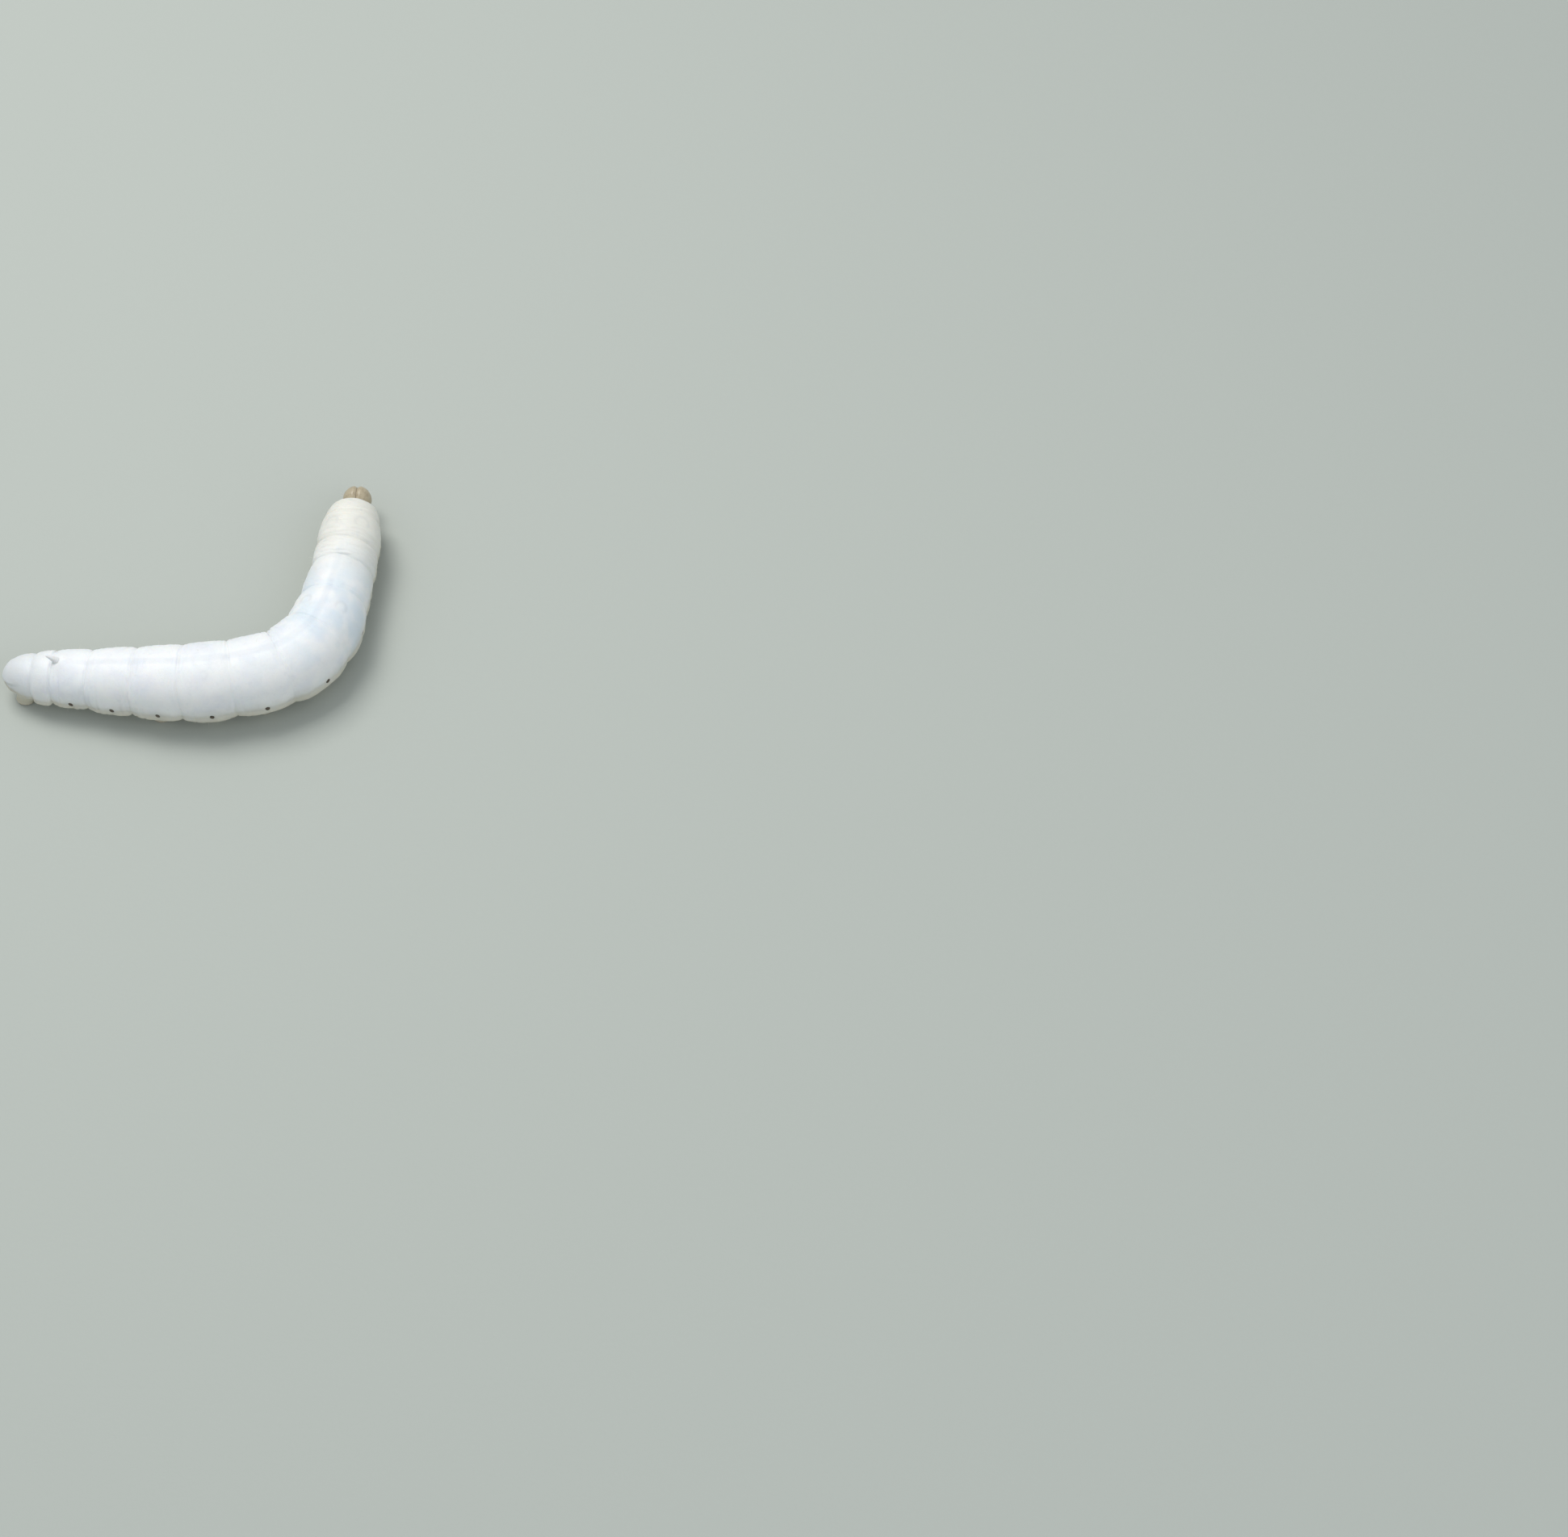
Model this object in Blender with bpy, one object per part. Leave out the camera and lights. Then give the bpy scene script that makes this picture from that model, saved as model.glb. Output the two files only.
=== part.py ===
"""A full-grown silkworm, the larva of the moth Bombyx mori, at life size.

It stands on its legs on a flat surface, bent in the shape of a J: the hind half lies along +X,
the front third turns left and points along +Y, and +Z is up. The origin is on the surface, under
the middle of the worm's own box. Lengths are in metres.
"""

import math

import bmesh
import bpy
import numpy as np
from mathutils import Matrix, Vector

MM = 0.001
GAP = 0.3 * MM

# The tail's tip, seen from above
TAIL_TIP = (-23.72 * MM, -11.25 * MM)

# The middle line's direction: where it starts, then each turn as (angle, from, to),
# measured along the body from the tail's tip
TAIL_HEADING = -5.9
TURNS = (
    (20.4, 17.3 * MM, 35.3 * MM),
    (66.0, 31.8 * MM, 48.4 * MM),
    (7.0, 50.0 * MM, 64.0 * MM),
)

# The segments' lengths from the tail forward
SEGMENT_LENGTHS = {
    "anal_segment": 4.2 * MM,
    "abdomen_9": 2.7 * MM,
    "abdomen_8": 4.7 * MM,
    "abdomen_7": 5.9 * MM,
    "abdomen_6": 6.2 * MM,
    "abdomen_5": 6.3 * MM,
    "abdomen_4": 6.3 * MM,
    "abdomen_3": 6.2 * MM,
    "abdomen_2": 5.9 * MM,
    "abdomen_1": 5.1 * MM,
    "metathorax": 3.1 * MM,
    "mesothorax": 4.7 * MM,
    "prothorax": 3.4 * MM,
}
BODY_LENGTH = sum(SEGMENT_LENGTHS.values())

# The body's half width: the rounded tail, then each swelling as (amount, from, to)
TAIL_HALF_WIDTH = 3.3 * MM
TAIL_ROUNDING = 7.2 * MM
SWELLINGS = (
    (1.6 * MM, 2.0 * MM, 28.0 * MM),
    (-0.8 * MM, 40.0 * MM, 57.0 * MM),
)
FRONT_ROUNDING_START = 57.5 * MM
FRONT_ROUNDING_END = 67.0 * MM

# The tail's end is rounded about the height that its middle line has here
TAIL_LEVEL_FROM = 4.5 * MM

# The section: how high the back stands over the widest line, and how deep the belly lies
# under it, both as a share of the half width, and how square the belly's corners are
BACK_SHARE = 1.04
BELLY_SHARE = 0.86
BELLY_SQUARENESS = 2.5
SIDE_FOLD_ANGLE = 122.0
SIDE_FOLD_SPREAD = 11.0
SIDE_FOLD_SHARE = 0.035

# How high the belly is carried over the floor: at the tail, in the middle, under the thorax,
# and over what length and from where it changes
TAIL_CLEARANCE = 1.2 * MM
BELLY_CLEARANCE = 1.1 * MM
CHEST_CLEARANCE = 1.7 * MM
CLEARANCE_STEP = 9.0 * MM
CHEST_START = 50.0 * MM

# The folds between the segments, which the tail's rounded end lacks, and the one at the neck
FOLD_DEPTH = 0.19 * MM
FOLD_START = 4.0 * MM
NECK_FOLD_DEPTH = 0.85 * MM
FOLD_SHARPNESS = 4.0

# The rings of the lofted body: columns round it, and where rings stand along a segment
COLUMNS = 28
SEGMENT_STATIONS = (0.0, 0.1, 0.26, 0.5, 0.74, 0.9, 1.0)
NECK_STATIONS = (0.0, 0.1, 0.3, 0.55, 0.75, 0.88, 0.95, 1.0)
TAIL_STATIONS = (0.015, 0.05, 0.12, 0.24, 0.42, 0.62, 0.82, 0.93, 1.0)

# The breathing holes, low ovals on both sides
SPIRACLE_SEGMENTS = ("prothorax",) + tuple(f"abdomen_{n}" for n in range(1, 9))
SPIRACLE_ANGLE = 105.0
SPIRACLE_PLACE = 0.56
SPIRACLE_HEIGHT = 0.95 * MM
SPIRACLE_WIDTH = 0.6 * MM
SPIRACLE_RISE = 0.14 * MM

# The horn on the back of the eighth abdominal segment: its length over the skin and under it,
# how far it leans back at the root and how much further at the tip
HORN_PLACE = 0.3
HORN_LENGTH = 2.15 * MM
HORN_ROOT_DEPTH = 0.9 * MM
HORN_BASE_RADIUS = 0.58 * MM
HORN_TIP_RADIUS = 0.14 * MM
HORN_TAPER = 0.8
HORN_LEAN = 47.0
HORN_BEND = 14.0
HORN_RINGS = 8

# The fleshy prolegs, in pairs under four abdominal segments. A foot's section is an oval:
# its radius is multiplied by the first share along the body and the second across it
PROLEG_SEGMENTS = (3, 4, 5, 6)
PROLEG_SPREAD = 2.0 * MM
PROLEG_TOP_RADIUS = 1.5 * MM
PROLEG_WAIST_RADIUS = 1.08 * MM
PROLEG_SOLE_RADIUS = 1.12 * MM
PROLEG_PLACE = 0.5
PROLEG_OVAL = (1.12, 0.92)

# The claspers, the last pair
CLASPER_PLACE = 2.9 * MM
CLASPER_SPREAD = 1.4 * MM
CLASPER_TOP_RADIUS = 1.2 * MM
CLASPER_SOLE_RADIUS = 1.0 * MM
CLASPER_OVAL = (1.15, 0.88)

# The jointed legs of the thorax: size against the largest pair, and where along the segment
LEG_SIZES = {"prothorax": (0.82, 0.5), "mesothorax": (0.94, 0.52), "metathorax": (1.0, 0.5)}
LEG_SPREAD = 1.9 * MM

# The sides of each round piece
STUMP_SIDES = 14
LEG_SIDES = 10
HORN_SIDES = 10
MOUTH_SIDES = 8

# Points closer than this after a Boolean are one point
WELD = 0.002 * MM

# The head
HEAD_HALF_WIDTH = 1.92 * MM
HEAD_HALF_HEIGHT = 1.95 * MM
HEAD_HALF_DEPTH = 1.75 * MM
HEAD_PITCH = 32.0
HEAD_AHEAD = 1.62 * MM
HEAD_DROP = 0.35 * MM
HEAD_DETAIL = (28, 18)
CROWN_GROOVE_DEPTH = 0.12
CROWN_GROOVE_WIDTH = 0.3 * MM

# The simple eyes: five in an arc, which starts at an angle and goes on by a step, and one under
# them. Directions are seen from the middle of the head: across, ahead, up
EYE_RADIUS = 0.12 * MM
EYE_DETAIL = (8, 5)
EYE_SUNK = 0.99
EYE_ARC_START = -70.0
EYE_ARC_STEP = 38.0
EYE_ARC_CENTRE = (1.42, 0.66, -0.75)
EYE_ARC_RADII = (0.1, 0.36, 0.5)
LOWEST_EYE = (1.3, 0.5, -0.98)

# What the mouth is made of, in the head's own frame, for its left side: where each tapered
# piece starts and ends, and its radius at both ends
JAW = ((0.62 * MM, 1.0 * MM, -1.35 * MM), (0.25 * MM, 1.3 * MM, -2.1 * MM), (0.46 * MM, 0.25 * MM))
PALP = ((0.72 * MM, 0.35 * MM, -1.45 * MM), (0.6 * MM, 0.85 * MM, -2.3 * MM), (0.42 * MM, 0.2 * MM))
SPINNERET = ((0.0, 0.1 * MM, -1.45 * MM), (0.0, 0.75 * MM, -2.45 * MM), (0.56 * MM, 0.2 * MM))
FEELER = ((0.95 * MM, 0.7 * MM, -1.2 * MM), (1.5 * MM, 1.6 * MM, -2.1 * MM), (0.29 * MM, 0.12 * MM))

# How a tapered piece narrows: the share of its length, and the share of the width it loses
CONE_PROFILE = ((0.0, 1.0), (0.45, 0.9), (0.8, 0.62), (0.95, 0.3), (1.0, 0.0))

# The face plate and the upper lip under it: centre and three radii in the head's own frame
FACE_PLATE = ((0.0, 1.32 * MM, -0.98 * MM), (0.72 * MM, 0.34 * MM, 0.45 * MM))
UPPER_LIP = ((0.0, 1.38 * MM, -1.6 * MM), (0.6 * MM, 0.28 * MM, 0.36 * MM))


def smooth(value):
    """Ease from 0 to 1 as the value goes from 0 to 1."""
    value = min(max(value, 0.0), 1.0)
    return value * value * (3.0 - 2.0 * value)


def steps(distance, table):
    """Sum the smooth steps of a table of (amount, from, to) up to a distance."""
    return sum(amount * smooth((distance - start) / (end - start)) for amount, start, end in table)


def heading(distance):
    """The middle line's direction in radians, at a distance from the tail's tip."""
    return math.radians(TAIL_HEADING + steps(distance, TURNS))


def walk_middle_line(pace=0.05 * MM, beyond=4.0 * MM):
    """Walk along the body, and some way beyond it, and note where the middle line lies."""
    count = int(math.ceil((BODY_LENGTH + beyond) / pace))
    distances = np.arange(count + 1) * pace
    angles = np.array([heading(distance + pace / 2) for distance in distances[:-1]])
    x = TAIL_TIP[0] + np.concatenate([[0.0], np.cumsum(np.cos(angles) * pace)])
    y = TAIL_TIP[1] + np.concatenate([[0.0], np.cumsum(np.sin(angles) * pace)])
    return distances, x, y


LINE = walk_middle_line()


def segment_ends():
    """Each segment's start and end along the body."""
    ends = {}
    start = 0.0
    for name, length in SEGMENT_LENGTHS.items():
        ends[name] = (start, start + length)
        start += length
    return ends


ENDS = segment_ends()


def half_width(distance):
    """The body's half width over the crests, without the folds."""
    tail = 1.0 - min(distance / TAIL_ROUNDING, 1.0)
    rounded = max(1.0 - tail * tail, 0.0)
    width = TAIL_HALF_WIDTH * math.sqrt(rounded) + steps(distance, SWELLINGS) * rounded
    front = max(distance - FRONT_ROUNDING_START, 0.0) / (FRONT_ROUNDING_END - FRONT_ROUNDING_START)
    return width * math.sqrt(max(1.0 - front * front, 0.0))


def fold(distance):
    """How far the skin is drawn in towards the folds at the ends of a segment."""
    for start, end in ENDS.values():
        if start <= distance <= end:
            share = 2.0 * (distance - start) / (end - start) - 1.0
            at_neck = share > 0.0 and end == BODY_LENGTH
            depth = NECK_FOLD_DEPTH if at_neck else FOLD_DEPTH * smooth(distance / FOLD_START)
            return depth * abs(share) ** FOLD_SHARPNESS
    return NECK_FOLD_DEPTH


def clearance(distance):
    """The belly's height over the floor."""
    tail = (TAIL_CLEARANCE - BELLY_CLEARANCE) * (1.0 - smooth(distance / CLEARANCE_STEP))
    chest = (CHEST_CLEARANCE - BELLY_CLEARANCE) * smooth((distance - CHEST_START) / CLEARANCE_STEP)
    return BELLY_CLEARANCE + tail + chest


def body_frame(distance):
    """The middle line's point at the section's widest height, and the left and forward directions."""
    angle = heading(distance)
    height = clearance(distance) + BELLY_SHARE * half_width(max(distance, TAIL_LEVEL_FROM))
    distances, x, y = LINE
    point = Vector((np.interp(distance, distances, x), np.interp(distance, distances, y), height))
    left = Vector((-math.sin(angle), math.cos(angle), 0.0))
    forward = Vector((math.cos(angle), math.sin(angle), 0.0))
    return point, left, forward


def power(value, exponent):
    return math.copysign(abs(value) ** exponent, value)


def skin(distance, degrees, grow=0.0):
    """A point of the skin: degrees go from the back's ridge over the left side to the belly."""
    point, left, forward = body_frame(distance)
    reach = half_width(distance) - fold(distance)
    angle = math.radians(degrees)
    side = math.sin(angle)
    up = math.cos(angle)
    if up < 0.0:
        side = power(side, 2.0 / BELLY_SQUARENESS)
        up = power(up, 2.0 / BELLY_SQUARENESS)
    from_back = 180.0 - abs(180.0 - degrees % 360.0)
    from_fold = (from_back - SIDE_FOLD_ANGLE) / SIDE_FOLD_SPREAD
    swell = 1.0 + SIDE_FOLD_SHARE * math.exp(-from_fold * from_fold)
    height = BACK_SHARE if up > 0.0 else BELLY_SHARE
    across = (reach * swell + grow) * side
    rise = (reach * height * swell + grow) * up
    return point + left * across + Vector((0.0, 0.0, 1.0)) * rise


def loft(rings, name):
    """Skin a row of rings of equal count and close both ends flat."""
    mesh = bmesh.new()
    rows = [[mesh.verts.new(point) for point in ring] for ring in rings]
    count = len(rows[0])
    for near, far in zip(rows, rows[1:]):
        for index in range(count):
            after = (index + 1) % count
            mesh.faces.new((near[index], near[after], far[after], far[index]))
    mesh.faces.new(list(reversed(rows[0])))
    mesh.faces.new(rows[-1])
    bmesh.ops.recalc_face_normals(mesh, faces=mesh.faces)
    return make_object(mesh, name)


def make_object(mesh, name):
    """Turn a bmesh into an object of triangles."""
    bmesh.ops.triangulate(mesh, faces=mesh.faces)
    data = bpy.data.meshes.new(name)
    mesh.to_mesh(data)
    mesh.free()
    thing = bpy.data.objects.new(name, data)
    bpy.context.scene.collection.objects.link(thing)
    return thing


def body_rings(distances, grow=0.0):
    angles = [360.0 * (index + 0.5) / COLUMNS for index in range(COLUMNS)]
    return [[skin(distance, angle, grow) for angle in angles] for distance in distances]


def segment_distances(name):
    """Where a segment's rings stand: from half a gap inside one end to half a gap inside the other."""
    start, end = ENDS[name]
    stations = {"anal_segment": TAIL_STATIONS, "prothorax": NECK_STATIONS}.get(name, SEGMENT_STATIONS)
    first = start if name == "anal_segment" else start + GAP / 2
    last = end - GAP / 2
    return [first + station * (last - first) for station in stations]


def grown_body():
    """The whole body, larger by the gap all round, to cut the roots of the limbs."""
    distances = [distance for name in SEGMENT_LENGTHS for distance in segment_distances(name)]
    return loft(body_rings(distances, GAP), "grown_body")


def tube(path, radii, sides, name, across, oval=(1.0, 1.0)):
    """A limb along a path, with its own radius at each point, wider along one way than the other."""
    rings = []
    for index, point in enumerate(path):
        before = path[max(index - 1, 0)]
        after = path[min(index + 1, len(path) - 1)]
        along = (after - before).normalized()
        second = along.cross(across).normalized()
        first = second.cross(along).normalized()
        wide, deep = (radii[index] * share for share in oval)
        ring = []
        for side in range(sides):
            angle = 2.0 * math.pi * side / sides
            ring.append(point + first * (wide * math.cos(angle)) + second * (deep * math.sin(angle)))
        rings.append(ring)
    return loft(rings, name)


def boolean(target, others, operation):
    """Join or cut with a whole collection at once, then drop the collection's objects."""
    group = bpy.data.collections.new("operands")
    bpy.context.scene.collection.children.link(group)
    for other in others:
        bpy.context.scene.collection.objects.unlink(other)
        group.objects.link(other)
    modifier = target.modifiers.new("boolean", "BOOLEAN")
    modifier.operation = operation
    modifier.solver = "EXACT"
    modifier.operand_type = "COLLECTION"
    modifier.collection = group
    bpy.context.view_layer.update()
    evaluated = target.evaluated_get(bpy.context.evaluated_depsgraph_get())
    data = bpy.data.meshes.new_from_object(evaluated)
    target.modifiers.remove(modifier)
    target.data = data
    for other in list(group.objects):
        bpy.data.objects.remove(other)
    bpy.data.collections.remove(group)
    keep_largest(target)


def keep_largest(thing):
    """Weld what coincides, then keep only the largest closed surface."""
    mesh = bmesh.new()
    mesh.from_mesh(thing.data)
    bmesh.ops.remove_doubles(mesh, verts=mesh.verts, dist=WELD)
    bmesh.ops.dissolve_degenerate(mesh, edges=mesh.edges, dist=WELD)
    left = set(mesh.verts)
    groups = []
    while left:
        start = left.pop()
        group = {start}
        front = [start]
        while front:
            vertex = front.pop()
            for edge in vertex.link_edges:
                other = edge.other_vert(vertex)
                if other not in group:
                    group.add(other)
                    front.append(other)
        left -= group
        groups.append(group)
    groups.sort(key=len)
    small = [vertex for group in groups[:-1] for vertex in group]
    bmesh.ops.delete(mesh, geom=small, context="VERTS")
    bmesh.ops.triangulate(mesh, faces=mesh.faces)
    mesh.to_mesh(thing.data)
    mesh.free()


def cut_flat(thing, point, normal):
    """Cut off what lies behind a plane and close the cut with a flat."""
    mesh = bmesh.new()
    mesh.from_mesh(thing.data)
    geometry = mesh.verts[:] + mesh.edges[:] + mesh.faces[:]
    plane = {"plane_co": point, "plane_no": normal, "dist": 1e-7}
    cut = bmesh.ops.bisect_plane(mesh, geom=geometry, clear_inner=True, **plane)
    rim = [part for part in cut["geom_cut"] if isinstance(part, bmesh.types.BMEdge)]
    bmesh.ops.contextual_create(mesh, geom=rim)
    bmesh.ops.recalc_face_normals(mesh, faces=mesh.faces)
    bmesh.ops.triangulate(mesh, faces=mesh.faces)
    mesh.to_mesh(thing.data)
    mesh.free()


def copy_of(thing, name):
    twin = bpy.data.objects.new(name, thing.data.copy())
    bpy.context.scene.collection.objects.link(twin)
    return twin


def make_ball(name, centre, radii, turn=None, detail=(12, 8)):
    """A ball drawn out to three radii, turned by a matrix and moved to its centre."""
    mesh = bmesh.new()
    bmesh.ops.create_uvsphere(mesh, u_segments=detail[0], v_segments=detail[1], radius=1.0)
    bmesh.ops.scale(mesh, vec=radii, verts=mesh.verts)
    matrix = Matrix.Translation(centre) @ (turn or Matrix.Identity(4))
    bmesh.ops.transform(mesh, matrix=matrix, verts=mesh.verts)
    return make_object(mesh, name)


def spiracle(name, side):
    """A low oval button where a segment breathes."""
    start, end = ENDS[name]
    distance = start + SPIRACLE_PLACE * (end - start)
    degrees = SPIRACLE_ANGLE if side > 0 else 360.0 - SPIRACLE_ANGLE
    point = skin(distance, degrees)
    left, forward = body_frame(distance)[1:]
    turn = Matrix((forward, left, (0.0, 0.0, 1.0))).transposed().to_4x4()
    radii = (SPIRACLE_WIDTH / 2, SPIRACLE_RISE * 2.5, SPIRACLE_HEIGHT / 2)
    inward = left * (-side * SPIRACLE_RISE * 1.5)
    return make_ball(f"{name}_spiracle", point + inward, radii, turn, (10, 6))


def make_segment(name):
    body = loft(body_rings(segment_distances(name)), name)
    if name in SPIRACLE_SEGMENTS:
        boolean(body, [spiracle(name, side) for side in (1, -1)], "UNION")
    return body


def body_place(distance, across, height, ahead=0.0):
    """A point beside the middle line: across is to the left, ahead is forward."""
    point, left, forward = body_frame(distance)
    flat = Vector((point.x, point.y, height))
    return flat + left * across + forward * ahead


def make_limb(name, distance, spread, side, profile, sides, grown, oval=(1.0, 1.0)):
    """A tube through rows of (height, ahead, out, radius), flat on the floor, cut at the skin."""
    path = [
        body_place(distance, side * (spread + out), height, ahead) for height, ahead, out, _ in profile
    ]
    radii = [row[-1] for row in profile]
    limb = tube(path, radii, sides, name, body_frame(distance)[2], oval)
    cut_flat(limb, (0.0, 0.0, 0.0), (0.0, 0.0, 1.0))
    boolean(limb, [copy_of(grown, "cutter")], "DIFFERENCE")
    return limb


def make_proleg(number, side, name, grown):
    """A fleshy stump that narrows at its ankle over a broad, flat sole."""
    start, end = ENDS[f"abdomen_{number}"]
    distance = start + PROLEG_PLACE * (end - start)
    profile = (
        (3.4 * MM, 0.0, -0.3 * MM, PROLEG_TOP_RADIUS),
        (2.0 * MM, 0.0, 0.0, PROLEG_TOP_RADIUS),
        (1.45 * MM, 0.0, 0.12 * MM, PROLEG_TOP_RADIUS * 0.91),
        (1.05 * MM, 0.0, 0.14 * MM, PROLEG_WAIST_RADIUS * 1.06),
        (0.75 * MM, 0.0, 0.12 * MM, PROLEG_WAIST_RADIUS),
        (0.46 * MM, 0.0, 0.06 * MM, PROLEG_SOLE_RADIUS * 0.99),
        (0.18 * MM, 0.0, 0.0, PROLEG_SOLE_RADIUS * 0.98),
        (-0.1 * MM, 0.0, 0.0, PROLEG_SOLE_RADIUS * 0.74),
    )
    return make_limb(name, distance, PROLEG_SPREAD, side, profile, STUMP_SIDES, grown, PROLEG_OVAL)


def make_clasper(side, name, grown):
    """A stump like a proleg's that slants back under the tail."""
    profile = (
        (3.4 * MM, 0.4 * MM, -0.3 * MM, CLASPER_TOP_RADIUS),
        (2.4 * MM, 0.2 * MM, -0.1 * MM, CLASPER_TOP_RADIUS),
        (1.6 * MM, 0.0, 0.05 * MM, CLASPER_TOP_RADIUS * 0.95),
        (1.05 * MM, -0.2 * MM, 0.05 * MM, CLASPER_SOLE_RADIUS * 0.92),
        (0.6 * MM, -0.3 * MM, 0.03 * MM, CLASPER_SOLE_RADIUS),
        (0.24 * MM, -0.32 * MM, 0.0, CLASPER_SOLE_RADIUS),
        (-0.1 * MM, -0.32 * MM, 0.0, CLASPER_SOLE_RADIUS * 0.74),
    )
    place = (CLASPER_PLACE, CLASPER_SPREAD, side)
    return make_limb(name, *place, profile, STUMP_SIDES, grown, CLASPER_OVAL)


def make_leg(segment, side, name, grown):
    """A jointed leg of three rings that taper to a claw resting on the floor."""
    size, place = LEG_SIZES[segment]
    start, end = ENDS[segment]
    distance = start + place * (end - start)
    chest = clearance(distance)
    profile = (
        (chest + 1.6 * MM, -0.2 * MM, -0.25 * MM, 0.98 * MM * size),
        (chest + 0.3 * MM, -0.1 * MM, 0.1 * MM, 0.92 * MM * size),
        (chest * 0.86, 0.0, 0.3 * MM, 0.76 * MM * size),
        (chest * 0.78, 0.03 * MM, 0.32 * MM, 0.62 * MM * size),
        (chest * 0.5, 0.22 * MM, 0.36 * MM, 0.54 * MM * size),
        (chest * 0.45, 0.26 * MM, 0.34 * MM, 0.42 * MM * size),
        (chest * 0.24, 0.5 * MM, 0.2 * MM, 0.34 * MM * size),
        (chest * 0.2, 0.55 * MM, 0.16 * MM, 0.25 * MM * size),
        (chest * 0.08, 0.74 * MM, 0.02 * MM, 0.19 * MM * size),
        (chest * -0.06, 0.8 * MM, -0.14 * MM, 0.15 * MM * size),
    )
    return make_limb(name, distance, LEG_SPREAD * size, side, profile, LEG_SIDES, grown)


def make_horn(name, grown):
    """A soft spike that leans back over the tail."""
    start, end = ENDS["abdomen_8"]
    distance = start + HORN_PLACE * (end - start)
    root = skin(distance, 0.0)
    _, left, forward = body_frame(distance)
    path = []
    radii = []
    for index in range(HORN_RINGS + 1):
        share = index / HORN_RINGS
        lean = math.radians(HORN_LEAN + HORN_BEND * share)
        along = (HORN_LENGTH + HORN_ROOT_DEPTH) * share - HORN_ROOT_DEPTH
        path.append(root - forward * (along * math.sin(lean)) + Vector((0, 0, along * math.cos(lean))))
        radii.append(HORN_BASE_RADIUS + (HORN_TIP_RADIUS - HORN_BASE_RADIUS) * share ** HORN_TAPER)
    horn = tube(path, radii, HORN_SIDES, name, left)
    boolean(horn, [copy_of(grown, "cutter")], "DIFFERENCE")
    return horn


def head_matrix():
    """The head's own frame: +X to its right, +Y out of its face, +Z to its crown."""
    point, left, forward = body_frame(BODY_LENGTH)
    centre = point + forward * HEAD_AHEAD - Vector((0, 0, HEAD_DROP))
    turn = Matrix((-left, forward, (0.0, 0.0, 1.0))).transposed().to_4x4()
    return Matrix.Translation(centre) @ turn @ Matrix.Rotation(math.radians(-HEAD_PITCH), 4, "X")


def capsule_point(direction, grow=0.0):
    """The head capsule: two rounded lobes with a groove between them down to the face."""
    x, y, z = direction
    lobe = abs(x)
    radius = 1.0 / math.sqrt(
        (x / HEAD_HALF_WIDTH) ** 2 + (y / HEAD_HALF_DEPTH) ** 2 + (z / HEAD_HALF_HEIGHT) ** 2
    )
    narrow = 1.0 - 0.16 * smooth(-z) * lobe
    groove = math.exp(-((x * radius / CROWN_GROOVE_WIDTH) ** 2)) * smooth(z * 1.4 + 0.15)
    face = 0.06 * smooth(y * 1.5 - 0.4) * smooth(1.0 - abs(z) * 1.2)
    return Vector(direction) * (radius * narrow * (1.0 - CROWN_GROOVE_DEPTH * groove - face) + grow)


def make_capsule(name, detail, grow=0.0):
    mesh = bmesh.new()
    bmesh.ops.create_uvsphere(mesh, u_segments=detail[0], v_segments=detail[1], radius=1.0)
    bmesh.ops.rotate(mesh, verts=mesh.verts, matrix=Matrix.Rotation(math.radians(90), 3, "X"))
    for vertex in mesh.verts:
        vertex.co = capsule_point(vertex.co.normalized(), grow)
    bmesh.ops.transform(mesh, matrix=head_matrix(), verts=mesh.verts)
    return make_object(mesh, name)


def head_cone(name, start, end, radii, side, grow=0.0):
    """A tapered piece with a rounded tip between two points in the head's own frame."""
    frame = head_matrix()
    mirror = Vector((side, 1.0, 1.0))
    start = Vector(start) * mirror
    end = Vector(end) * mirror
    reach = 1.0 + grow / (end - start).length
    path = [frame @ start.lerp(end, share * reach) for share, _ in CONE_PROFILE]
    sizes = []
    for _, wide in CONE_PROFILE:
        rounded_tip = radii[1] * min(1.0, wide * 2.0 + 0.45)
        sizes.append(rounded_tip + (radii[0] - radii[1]) * wide + grow)
    across = (frame.to_3x3() @ Vector((1.0, 0.0, 0.1))).normalized()
    return tube(path, sizes, MOUTH_SIDES, name, across)


def eye_places(side):
    """Six simple eyes: five in an arc on the cheek and one under them, near the feeler."""
    mirror = Vector((side, 1.0, 1.0))
    places = [Vector(LOWEST_EYE)]
    for index in range(5):
        angle = math.radians(EYE_ARC_START + EYE_ARC_STEP * index)
        along_arc = Vector((math.cos(angle), math.cos(angle), math.sin(angle)))
        places.append(Vector(EYE_ARC_CENTRE) + along_arc * Vector(EYE_ARC_RADII))
    return [(place * mirror).normalized() for place in places]


def head_ball(name, centre, radii, grow=0.0):
    """A flattened ball in the head's own frame."""
    frame = head_matrix()
    grown = [radius + grow for radius in radii]
    return make_ball(name, frame @ Vector(centre), grown, frame.to_3x3().to_4x4())


def mouth_pieces(grow=0.0):
    """The jaws, palps, spinneret, face plate and upper lip."""
    pieces = [head_cone("spinneret", *SPINNERET, 1, grow)]
    for side in (-1, 1):
        pieces.append(head_cone("jaw", *JAW, side, grow))
        pieces.append(head_cone("palp", *PALP, side, grow))
    pieces.append(head_ball("face_plate", *FACE_PLATE, grow))
    pieces.append(head_ball("upper_lip", *UPPER_LIP, grow))
    return pieces


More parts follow.
